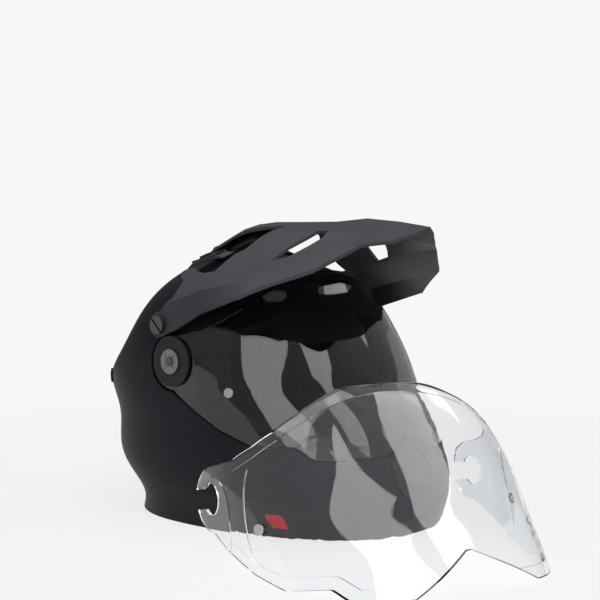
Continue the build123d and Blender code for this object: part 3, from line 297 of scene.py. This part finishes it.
def matt_paint(name, dark, light, gloss):
    """Matt lacquer with a faint orange peel."""
    look, tree, shader, coords = start_finish(name, dark, 0.5)
    drift = add_noise(tree, coords, 14, 3)
    vary_colour(tree, shader, drift.outputs["Fac"], dark, light)
    vary_roughness(tree, shader, drift.outputs["Fac"], 0.44, 0.54)
    peel = add_noise(tree, coords, 1300, 2)
    add_bump(tree, shader, peel.outputs["Fac"], 0.12, fine_relief)
    shader.inputs["Specular IOR Level"].default_value = gloss
    return look


# %% Grained plastics
def grained_plastic(name, dark, light, rough, grain_scale=1900, grain=0.18, gloss=0.26):
    """Moulded plastic with the small cells of a textured mould."""
    look, tree, shader, coords = start_finish(name, dark, rough)
    drift = add_noise(tree, coords, 20, 3)
    vary_colour(tree, shader, drift.outputs["Fac"], dark, light)
    cells = add_cells(tree, coords, grain_scale)
    add_bump(tree, shader, cells.outputs["Distance"], grain, fine_relief)
    vary_roughness(tree, shader, drift.outputs["Fac"], rough - 0.04, rough + 0.05)
    shader.inputs["Specular IOR Level"].default_value = gloss
    return look


# %% Clear and smoked polycarbonate
film_tone = 0.985
surface_loss = 0.97


def polycarbonate(name, tint):
    """Glass that passes lamplight, so that what it covers isn't lit as if behind a wall."""
    look, tree, shader, coords = start_finish(name, tint, 0.0)
    shader.inputs["Transmission Weight"].default_value = 1.0
    shader.inputs["IOR"].default_value = 1.5
    film = add_noise(tree, coords, 30, 2)
    vary_colour(tree, shader, film.outputs["Fac"], [c * film_tone for c in tint], tint)
    through = tree.nodes.new("ShaderNodeBsdfTransparent")
    through.inputs["Color"].default_value = (*[math.sqrt(c) * surface_loss for c in tint], 1)
    blend = mix_shaders(tree, seen_by(tree, "Is Shadow Ray"), shader.outputs[0], through.outputs[0])
    tree.links.new(blend, tree.nodes["Material Output"].inputs["Surface"])
    return look


# %% Metals
def turned_metal(name, tone, roughness):
    """Metal with the fine lines of a lathe."""
    colour = (tone, tone * 0.985, tone * 0.97)
    look, tree, shader, coords = start_finish(name, colour, roughness, 1.0)
    lathe = add_noise(tree, coords, 600, 2, (1, 0.15, 1))
    vary_colour(tree, shader, lathe.outputs["Fac"], [tone * 0.85] * 3, [tone * 1.1] * 3)
    vary_roughness(tree, shader, lathe.outputs["Fac"], roughness - 0.08, roughness + 0.10)
    add_bump(tree, shader, lathe.outputs["Fac"], 0.12, fine_relief)
    return look


hole_edge = (0.30, 0.40)
hole_depth = 0.4 * mm


def pierced_sheet(name, metal, hole_shade, pitch):
    """Dark sheet metal with rows of punched holes, whose near black colour is painted shade."""
    look, tree, shader, coords = start_finish(name, metal, 0.45, 0.6)
    holes = add_cells(tree, coords, 1 / pitch, 0.0)
    rim = remap(tree, holes.outputs["Distance"], 0, 1, *hole_edge)
    # The holes take the near black hole colour, a painted shade for the dark space seen through them.
    vary_colour(tree, shader, rim, hole_shade, metal)
    add_bump(tree, shader, rim, 0.8, hole_depth)
    return look


# %% Rubber and foam
bead_depth = 0.6 * mm


def bead_foam():
    """Moulded foam whose beads show on its skin."""
    look, tree, shader, coords = start_finish("bead_foam", (0.020, 0.021, 0.023), 0.85)
    beads = add_cells(tree, coords, 330)
    vary_colour(tree, shader, beads.outputs["Distance"], (0.030, 0.031, 0.034), (0.010, 0.010, 0.011))
    add_bump(tree, shader, beads.outputs["Distance"], 0.5, bead_depth)
    shader.inputs["Specular IOR Level"].default_value = 0.25
    return look


def soft_rubber():
    """Matt rubber for the seal and the deflector."""
    look, tree, shader, coords = start_finish("soft_rubber", (0.010, 0.010, 0.011), 0.62)
    skin = add_noise(tree, coords, 900, 3)
    vary_colour(tree, shader, skin.outputs["Fac"], (0.008, 0.008, 0.009), (0.014, 0.014, 0.015))
    vary_roughness(tree, shader, skin.outputs["Fac"], 0.55, 0.70)
    add_bump(tree, shader, skin.outputs["Fac"], 0.15, fine_relief)
    shader.inputs["Specular IOR Level"].default_value = 0.3
    return look


# %% [markdown]
# ## Cloth finishes
#
# The lining is a brushed knit: rows of small loops under a soft nap, which catches light at its
# edges. Two crossed wave textures give the loops, and sheen gives the nap. The webbing of the straps
# and the red tab are woven flat, so their sheen is lower. A slow noise fades the colour where hands
# and hair rub it.


# %% Knit and woven cloth
thread_wander = 0.6
thread_depth = 0.3 * mm
rubbed_share = 0.6


def woven(name, dark, light, along, across, sheen, bump=0.6):
    """Cloth with threads along two directions of Object space."""
    look, tree, shader, coords = start_finish(name, dark, 0.85)
    waves = []
    for direction, scale in (("X", along), ("Z", across)):
        wave = tree.nodes.new("ShaderNodeTexWave")
        wave.bands_direction = direction
        wave.inputs["Scale"].default_value = scale
        wave.inputs["Distortion"].default_value = thread_wander
        tree.links.new(coords.outputs["Object"], wave.inputs["Vector"])
        waves.append(wave)
    weave = tree.nodes.new("ShaderNodeMath")
    weave.operation = "MULTIPLY"
    tree.links.new(waves[0].outputs["Fac"], weave.inputs[0])
    tree.links.new(waves[1].outputs["Fac"], weave.inputs[1])
    rubbed = add_noise(tree, coords, 22, 3)
    tone = tree.nodes.new("ShaderNodeMath")
    tone.operation = "MULTIPLY_ADD"
    tree.links.new(remap(tree, rubbed.outputs["Fac"], -0.25, 0.45, 0.3, 0.7), tone.inputs[0])
    tone.inputs[1].default_value = rubbed_share
    tree.links.new(weave.outputs[0], tone.inputs[2])
    vary_colour(tree, shader, tone.outputs[0], dark, light)
    add_bump(tree, shader, weave.outputs[0], bump, thread_depth)
    shader.inputs["Sheen Weight"].default_value = sheen
    shader.inputs["Sheen Roughness"].default_value = 0.4
    shader.inputs["Specular IOR Level"].default_value = 0.2
    return look


# %% Make the finishes
looks = {
    "shell": matt_paint("matt_paint", (0.0068, 0.0085, 0.0118), (0.0090, 0.0111, 0.0150), 0.12),
    # The peak has the same paint as the shell. Its colour is set lighter as painted light, standing
    # in for the overhead light on its top surfaces.
    "peak": matt_paint("peak_paint_painted_light", (0.0345, 0.0385, 0.0450), (0.0420, 0.0465, 0.0540), 0.24),
    "trim": grained_plastic(
        "trim_plastic", (0.0078, 0.0092, 0.0120), (0.0102, 0.0120, 0.0155), 0.50, gloss=0.14),
    "panel": grained_plastic(
        "panel_plastic", (0.0085, 0.0100, 0.0125), (0.0115, 0.0132, 0.0165), 0.52, 1300, 0.4),
    "satin_plastic": grained_plastic(
        "satin_plastic", (0.0090, 0.0098, 0.0115), (0.0120, 0.0130, 0.0150), 0.42),
    "smoke": polycarbonate("smoke_polycarbonate", (0.330, 0.345, 0.360)),
    "clear": polycarbonate("clear_polycarbonate", (0.918, 0.934, 0.950)),
    "metal": turned_metal("satin_aluminium", 0.40, 0.36),
    "pin_metal": turned_metal("bright_pin", 0.62, 0.25),
    "disc_metal": turned_metal("pivot_disc_metal", 0.25, 0.42),
    "dark_metal": turned_metal("dulled_steel", 0.13, 0.40),
    # The near black second colour is painted shade inside the punched holes.
    "mesh": pierced_sheet("pierced_mesh", (0.035, 0.036, 0.038), (0.002, 0.002, 0.002), 1.5 * mm),
    "rubber": soft_rubber(),
    "foam": bead_foam(),
    "knit": woven(
        "brushed_knit", (0.014, 0.015, 0.017), (0.034, 0.036, 0.040), 420, 420, 0.30),
    "knit_inner": woven(
        "smooth_knit", (0.020, 0.022, 0.026), (0.046, 0.050, 0.056), 560, 560, 0.20, 0.4),
    "thread": woven(
        "sewing_thread", (0.050, 0.053, 0.058), (0.075, 0.079, 0.085), 2500, 2500, 0.1, 0.3),
    "piping": woven(
        "piping_cord", (0.008, 0.008, 0.009), (0.018, 0.018, 0.020), 900, 900, 0.15, 0.4),
    "webbing": woven(
        "strap_webbing", (0.008, 0.008, 0.009), (0.022, 0.022, 0.024), 500, 250, 0.15, 0.8),
    "red_tab": woven(
        "red_tab", (0.42, 0.008, 0.014), (0.62, 0.020, 0.030), 900, 900, 0.2, 0.4),
}
print("finishes:", len(looks))

# %% Dress the CAD nodes
nodes_by_look = {
    "shell": ("outer_shell",),
    "trim": ("base_trim", "rear_vent_covers"),
    "rubber": ("eyeport_gasket", "breath_deflector"),
    "smoke": ("smoke_shield",),
    "clear": ("spare_shield",),
    "pin_metal": ("shield_lens_pins", "spare_lens_pins"),
    "disc_metal": ("pivot_disc_right", "pivot_disc_left"),
    "dark_metal": ("pivot_screws", "peak_screw_right", "peak_screw_left", "peak_top_screw"),
    "peak": ("peak", "crown_vent_bases"),
    "satin_plastic": (
        "pivot_plate_right", "pivot_plate_left", "pivot_cover_right", "pivot_cover_left",
        "peak_bosses", "peak_top_bracket", "crown_slider_right", "crown_slider_left",
        "chin_vent_shutter"),
    "panel": ("chin_vent_panel",),
    "mesh": ("chin_vent_mesh",),
    "foam": ("eps_liner", "chin_eps"),
    "metal": ("strap_anchors", "d_ring_long", "d_ring_short"),
}
for look, names in nodes_by_look.items():
    for name in names:
        part = nodes[name]
        part.data.materials.clear()
        part.data.materials.append(looks[look])
print("dressed", sum(len(names) for names in nodes_by_look.values()), "nodes")

# %% [markdown]
# ## Small hard parts
#
# Three details are added to the rigid parts. A keel stiffens the peak from below, along its middle,
# and fills the slit between the peak and the crown. Each pivot disc has four short marks round its
# screw. The clear zone of the spare shield ends in a raised bead near each side. The keel and the
# beads are placed by casting rays on the surfaces that they touch.


# %% Helpers that find a surface
def new_piece(name, mesh, look):
    """A piece at the origin with one finish, smooth shaded."""
    mesh.polygons.foreach_set("use_smooth", [True] * len(mesh.polygons))
    piece = bpy.data.objects.new(name, mesh)
    bpy.context.collection.objects.link(piece)
    piece.data.materials.clear()
    piece.data.materials.append(looks[look])
    return piece


def to_piece(bm, name, look):
    """Closes a bmesh and makes it a piece that stays on the root body."""
    piece = new_piece(name, mesh_from(bm, name), look)
    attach(piece, "root")
    print(name, "faces", len(piece.data.polygons))


def surface_of(node):
    """A tree of a node's faces, for casting rays."""
    bm = bmesh.new()
    bm.from_mesh(nodes[node].data)
    tree = BVHTree.FromBMesh(bm)
    bm.free()
    return tree


# %% The keel under the peak
keel_front = -7 * mm
keel_back = 51 * mm
keel_step = 4 * mm
keel_wall = 2.4 * mm
keel_clearance = 1.2 * mm
keel_least = 3 * keel_clearance
keel_sink = 0.3 * mm
above_all = 0.4
up = Vector((0, 0, 1))

shell_faces = surface_of("outer_shell")
peak_faces = surface_of("peak")
bm = bmesh.new()
rows = []
y = keel_front
while y <= keel_back:
    crown = shell_faces.ray_cast(Vector((0, y, above_all)), -up)[0]
    foot_height = crown.z + keel_clearance
    roof = peak_faces.ray_cast(Vector((0, y, foot_height)), up)[0]
    if roof and roof.z - crown.z > keel_least:
        foot = bm.verts.new((-keel_wall / 2, y, foot_height))
        head = bm.verts.new((-keel_wall / 2, y, roof.z + keel_sink))
        rows.append((foot, head))
    y += keel_step
for (foot, head), (next_foot, next_head) in zip(rows, rows[1:]):
    bm.faces.new((foot, next_foot, next_head, head))
wall = bmesh.ops.extrude_face_region(bm, geom=bm.faces[:])
far_side = [part for part in wall["geom"] if isinstance(part, bmesh.types.BMVert)]
bmesh.ops.translate(bm, verts=far_side, vec=(keel_wall, 0, 0))
bmesh.ops.recalc_face_normals(bm, faces=bm.faces)
to_piece(bm, "peak_keel", "satin_plastic")

# %% The marks on the pivot discs
mark_size = (0.25 * mm, 0.9 * mm, 3.0 * mm)
mark_place = 7.0 * mm
mark_edge = 0.08 * mm
for side, sign in (("right", -1), ("left", 1)):
    low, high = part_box("pivot_disc_" + side)
    centre = Vector((high[0] if sign > 0 else low[0], (low[1] + high[1]) / 2, (low[2] + high[2]) / 2))
    bm = bmesh.new()
    for quarter in range(4):
        turn = Matrix.Rotation(math.radians(45 + 90 * quarter), 4, "X")
        outward = Matrix.Translation((0, 0, mark_place)) @ Matrix.Diagonal((*mark_size, 1))
        place = Matrix.Translation(centre) @ turn @ outward
        bmesh.ops.create_cube(bm, size=1, matrix=place)
    bmesh.ops.bevel(bm, geom=bm.edges[:], offset=mark_edge, offset_type="OFFSET", segments=2,
                    profile=0.5, affect="EDGES", material=-1)
    to_piece(bm, "disc_marks_" + side, "dark_metal")

# %% Find the beads of the spare shield in the picture
bead_radius = 0.55 * mm
bead_lift = bead_radius + 0.1 * mm
lens_focus = lens_length / film_width
picture = 600
near_bead = ((247, 470), (244, 486), (244, 504), (246, 524), (249, 540), (253, 553))
far_bead = ((497, 425), (499, 448), (504, 480), (509, 505), (513, 524))


def seen_point(faces, pixel):
    """Where the camera's ray through a pixel of the picture meets a surface, with the normal."""
    aim = Vector((pixel[0] / picture - 0.5, 0.5 - pixel[1] / picture, -lens_focus))
    aim.rotate(camera.rotation_euler)
    place, normal = faces.ray_cast(camera_place, aim.normalized())[:2]
    if place is None:
        return None
    return place, normal if normal.dot(aim) < 0 else -normal


# %% The beads on the spare shield
spare_faces = surface_of("spare_shield")
for side, pixels in (("near", near_bead), ("far", far_bead)):
    found = [p for p in (seen_point(spare_faces, pixel) for pixel in pixels) if p]
    curve = bpy.data.curves.new("bead", "CURVE")
    curve.dimensions = "3D"
    curve.bevel_depth = bead_radius
    curve.bevel_resolution = 2
    spline = curve.splines.new("NURBS")
    spline.points.add(len(found) - 1)
    for point, (place, normal) in zip(spline.points, found):
        point.co = (*(place + normal * bead_lift), 1)
    spline.order_u = 3
    spline.use_endpoint_u = True
    holder = bpy.data.objects.new("bead", curve)
    mesh = bpy.data.meshes.new_from_object(holder)
    bpy.data.objects.remove(holder)
    bead = new_piece("spare_bead_" + side, mesh, "clear")
    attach(bead, "root")
    print("bead", side, "points", len(found), "faces", len(mesh.polygons))

# %% [markdown]
# ## Soft padding
#
# The cheek pads, the liners and the neck roll are foam covered with knit. Each one starts from a
# merged copy of its plain solid, remeshed to an even skin. Cloth under a light pressure then swells
# it between its sewn channels, whose points are pinned, which is how a quilted cover behaves. A cap
# keeps the side that lies against the shell where it is.


# %% Helpers that make an even skin
def merged_copy(node):
    """A bmesh of a node with its loose triangles joined."""
    bm = bmesh.new()
    bm.from_mesh(nodes[node].data)
    bmesh.ops.remove_doubles(bm, verts=bm.verts, dist=0.01 * mm)
    bmesh.ops.dissolve_limit(bm, angle_limit=math.radians(1), verts=bm.verts, edges=bm.edges)
    return bm


def even_skin(bm, voxel):
    """The same shape with an even skin of small quads, as a new bmesh."""
    holder = bpy.data.objects.new("even", mesh_from(bm, "even"))
    bpy.context.collection.objects.link(holder)
    remesh = holder.modifiers.new("remesh", "REMESH")
    remesh.mode = "VOXEL"
    remesh.voxel_size = voxel
    graph = bpy.context.evaluated_depsgraph_get()
    result = bmesh.new()
    result.from_mesh(bpy.data.meshes.new_from_object(holder.evaluated_get(graph)))
    bpy.data.objects.remove(holder)
    return result


# %% A helper that tells the side next to the head
head_middle = Vector((0, 10 * mm, 120 * mm))
edge_share = 0.15
facing_gain = 1.1


def faces_in(place, normal):
    """How far a point of the lining looks at the head, from 0 to 1."""
    toward = (head_middle - place).normalized()
    return max(0.0, min(1.0, edge_share + facing_gain * normal.dot(toward)))


# %% A helper that swells a cover between its seams
cover_pressure = 4.0
cover_mass = 0.2
last_step = 20


def swell(piece, pinned, cap):
    """Runs cloth with its seams pinned, and keeps each point within the cap of where it was."""
    start = [vert.co.copy() for vert in piece.data.vertices]
    share = [faces_in(vert.co, vert.normal) for vert in piece.data.vertices]
    seams = piece.vertex_groups.new(name="seams")
    seams.add(pinned, 1.0, "REPLACE")
    cloth = piece.modifiers.new("cloth", "CLOTH")
    cloth.settings.quality = 4
    cloth.settings.mass = cover_mass
    cloth.settings.use_pressure = True
    cloth.settings.uniform_pressure_force = cover_pressure
    cloth.settings.vertex_group_mass = "seams"
    cloth.settings.effector_weights.gravity = 0
    for step in range(1, last_step + 1):
        scene.frame_set(step)
    graph = bpy.context.evaluated_depsgraph_get()
    swollen = bpy.data.meshes.new_from_object(piece.evaluated_get(graph))
    piece.modifiers.remove(cloth)
    farthest = 0
    for vert, place, weight in zip(piece.data.vertices, start, share):
        move = swollen.vertices[vert.index].co - place
        reach = cap * weight
        if move.length > reach:
            move = move.normalized() * reach if reach > 0 else Vector()
        vert.co = place + move
        farthest = max(farthest, move.length)
    piece.vertex_groups.clear()
    bpy.data.meshes.remove(swollen)
    scene.frame_set(1)
    return farthest


# %% A helper that sews a pad
seam_width = 1.9 * mm
seam_depth = 1.5 * mm
pin_reach = 0.6


def make_pad(name, node, look, rounds, channels=(), axis=2, voxel=3.4 * mm, cap=3.0 * mm):
    """A padded piece in the place of a plain solid, swollen between channels across an axis."""
    bm = even_skin(merged_copy(node), voxel)
    for _ in range(rounds):
        bmesh.ops.smooth_vert(bm, verts=bm.verts, factor=0.5,
                              use_axis_x=True, use_axis_y=True, use_axis_z=True)
    bm.normal_update()
    pinned = []
    for vert in bm.verts:
        off = min([abs(vert.co[axis] - place) for place in channels], default=1.0)
        dip = math.exp(-((off / seam_width) ** 2)) * faces_in(vert.co, vert.normal)
        if off < voxel * pin_reach:
            pinned.append(vert.index)
        vert.co -= vert.normal * seam_depth * dip
    piece = new_piece(name, mesh_from(bm, name), look)
    moved = swell(piece, pinned, cap)
    smooth = piece.modifiers.new("round", "SUBSURF")
    smooth.levels = smooth.render_levels = 1
    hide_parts(node)
    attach(piece, "root")
    print(name, "faces", len(piece.data.polygons), "swollen by", round(moved / mm, 1), "mm")
    return piece


# %% Sew the padding
def shares_of(node, axis, shares):
    """Places along one side of a node's box."""
    low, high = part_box(node)
    return [low[axis] + (high[axis] - low[axis]) * share for share in shares]


cheek_channels = shares_of("cheek_pad_left", 2, (0.30, 0.62))
rear_channels = shares_of("rear_liner", 2, (0.33, 0.66))
crown_channels = shares_of("crown_liner", 0, (0.26, 0.42, 0.58, 0.74))
cheeks = {}
for side in ("left", "right"):
    cheeks[side] = make_pad("cheek_cushion_" + side, "cheek_pad_" + side, "knit", 6,
                            cheek_channels, voxel=3.2 * mm)
neck = make_pad("neck_cushion", "neck_roll", "knit", 6, cap=1.5 * mm)
rear = make_pad("rear_lining", "rear_liner", "knit_inner", 3, rear_channels, cap=1.8 * mm)
crown = make_pad("crown_lining", "crown_liner", "knit_inner", 3, crown_channels,
                 axis=0, cap=1.8 * mm)

# %% [markdown]
# ## Seams, piping and stitches
#
# A cut through a finished pad gives the exact line that a seam follows on its cover. The line is
# found with a bisect and put in order, always from the same edge. Then either a cord of piping or a
# row of short stitches is laid along it. Stitches are only laid where the cover looks at the head.


# %% A helper that finds seam lines
fewest_points = 12


def seam_lines(piece, place, direction):
    """The lines where a plane crosses a piece, each as (point, normal) pairs in order."""
    graph = bpy.context.evaluated_depsgraph_get()
    bm = bmesh.new()
    bm.from_mesh(bpy.data.meshes.new_from_object(piece.evaluated_get(graph)))
    bm.normal_update()
    parts = bm.verts[:] + bm.edges[:] + bm.faces[:]
    cut = bmesh.ops.bisect_plane(bm, geom=parts, dist=1e-6, plane_co=place, plane_no=direction)
    bm.normal_update()
    rest = dict.fromkeys(part for part in cut["geom_cut"] if isinstance(part, bmesh.types.BMEdge))
    lines = []
    while rest:
        edge = next(iter(rest))
        del rest[edge]
        chain = [edge.verts[0], edge.verts[1]]
        growing = True
        while growing:
            growing = False
            for following in chain[-1].link_edges:
                if following in rest:
                    del rest[following]
                    chain.append(following.other_vert(chain[-1]))
                    growing = True
                    break
        lines.append([(vert.co.copy(), vert.normal.copy()) for vert in chain])
    bm.free()
    return [line for line in lines if len(line) > fewest_points]


def even_points(line, spacing):
    """Points a fixed distance apart along a line, with the line's direction and the normal."""
    result = []
    left = spacing / 2
    for (start, normal), (end, _) in zip(line, line[1:]):
        step = end - start
        length = step.length
        while length > 1e-9 and left <= length:
            result.append((start + step * (left / length), step.normalized(), normal))
            left += spacing
        left -= length
    return result


# %% A helper that lays stitches
stitch_length = 2.6 * mm
stitch_pitch = 4.0 * mm
thread = 0.32 * mm
stitch_lift = 0.6 * thread
stitch_aside = 1.6 * mm
stitch_facing = 0.55


def lay_stitches(name, places):
    """A row of short threads as one piece, each one a stretched icosphere."""
    bm = bmesh.new()
    for place, along, normal in places:
        side = along.cross(normal).normalized()
        turn = Matrix((along, side, normal)).transposed().to_4x4()
        size = Matrix.Diagonal((stitch_length / 2, thread, thread, 1))
        matrix = Matrix.Translation(place + normal * stitch_lift) @ turn @ size
        bmesh.ops.create_icosphere(bm, subdivisions=1, radius=1.0, matrix=matrix)
    piece = new_piece(name, mesh_from(bm, name), "thread")
    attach(piece, "root")
    print(name, "stitches", len(places))


def stitches_on(piece, channels, axis):
    """Places of two rows of stitches beside every channel, where the cover looks at the head."""
    direction = Vector([1.0 if i == axis else 0.0 for i in range(3)])
    places = []
    for channel in channels:
        for offset in (-stitch_aside, stitch_aside):
            for line in seam_lines(piece, direction * (channel + offset), direction):
                for place, along, normal in even_points(line, stitch_pitch):
                    if faces_in(place, normal) > stitch_facing:
                        places.append((place, along, normal))
    return places


# %% Stitch the channels
for side, piece in cheeks.items():
    lay_stitches("cheek_stitches_" + side, stitches_on(piece, cheek_channels, 2))
lay_stitches("rear_stitches", stitches_on(rear, rear_channels, 2))
lay_stitches("crown_stitches", stitches_on(crown, crown_channels, 0))


# %% A helper that lays piping
piping_radius = 1.1 * mm
piping_lift = 0.5 * piping_radius
closing_gap = 4 * mm


def lay_piping(name, lines):
    """A thin covered cord along each line, as one mesh."""
    curve = bpy.data.curves.new(name, "CURVE")
    curve.dimensions = "3D"
    curve.bevel_depth = piping_radius
    curve.bevel_resolution = 2
    for line in lines:
        spline = curve.splines.new("POLY")
        spline.points.add(len(line) - 1)
        for point, (place, normal) in zip(spline.points, line):
            point.co = (*(place + normal * piping_lift), 1)
        spline.use_cyclic_u = (line[0][0] - line[-1][0]).length < closing_gap
    holder = bpy.data.objects.new(name, curve)
    graph = bpy.context.evaluated_depsgraph_get()
    mesh = bpy.data.meshes.new_from_object(holder, depsgraph=graph)
    bpy.data.objects.remove(holder)
    piece = new_piece(name, mesh, "piping")
    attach(piece, "root")
    print(name, "lines", len(lines), "faces", len(mesh.polygons))


# %% Pipe the edges of the pads
cheek_seam_depth = 13 * mm
neck_seam_height = 9 * mm
for side, piece in cheeks.items():
    low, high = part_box("cheek_pad_" + side)
    inner = low[0] if side == "left" else high[0]
    outward = 1 if side == "left" else -1
    cut = Vector((inner + outward * cheek_seam_depth, 0, 0))
    lay_piping("cheek_piping_" + side, seam_lines(piece, cut, Vector((1, 0, 0))))
low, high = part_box("neck_roll")
cut = Vector((0, 0, low[2] + neck_seam_height))
lay_piping("neck_piping", seam_lines(neck, cut, up))

# %% [markdown]
# ## Straps, curtain and tab
#
# Webbing is too thin for remeshing, so each strap keeps its route and gets rounded edges. The chin
# curtain is one thin sheet across the front of the neck opening, taken from the upper skin of its
# plain solid and given a cloth's thickness. The red tab is a short piece of ribbon.


# %% Cut the straps and the tab
webbing_edge = 0.4 * mm
tab_edge = 0.15 * mm


def make_cloth(name, node, look, edge):
    """A thin cloth piece from a plain solid, with its edges rounded."""
    bm = merged_copy(node)
    bmesh.ops.bevel(bm, geom=bm.edges[:], offset=edge, offset_type="OFFSET", segments=2,
                    profile=0.5, affect="EDGES", material=-1, clamp_overlap=True)
    piece = new_piece(name, mesh_from(bm, name), look)
    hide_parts(node)
    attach(piece, "root")
    print(name, "faces", len(piece.data.polygons))
    return piece


for side in ("left", "right"):
    strap = make_cloth("strap_webbing_" + side, "strap_" + side, "webbing", webbing_edge)
tab = make_cloth("red_ribbon", "trim_tab", "red_tab", tab_edge)

# %% Hang the chin curtain
cloth_thickness = 0.9 * mm
bm = merged_copy("chin_curtain")
bm.normal_update()
under = [face for face in bm.faces if face.normal.z < 0.5]
bmesh.ops.delete(bm, geom=under, context="FACES")
bmesh.ops.triangulate(bm, faces=bm.faces)
bmesh.ops.subdivide_edges(bm, edges=bm.edges[:], cuts=2, use_grid_fill=True)
curtain_area = sum(face.calc_area() for face in bm.faces)
curtain = new_piece("chin_curtain_cloth", mesh_from(bm, "chin_curtain_cloth"), "knit")
wall = curtain.modifiers.new("wall", "SOLIDIFY")
wall.thickness = cloth_thickness
wall.offset = -1
low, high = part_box("chin_curtain")
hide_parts("chin_curtain")
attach(curtain, "root")
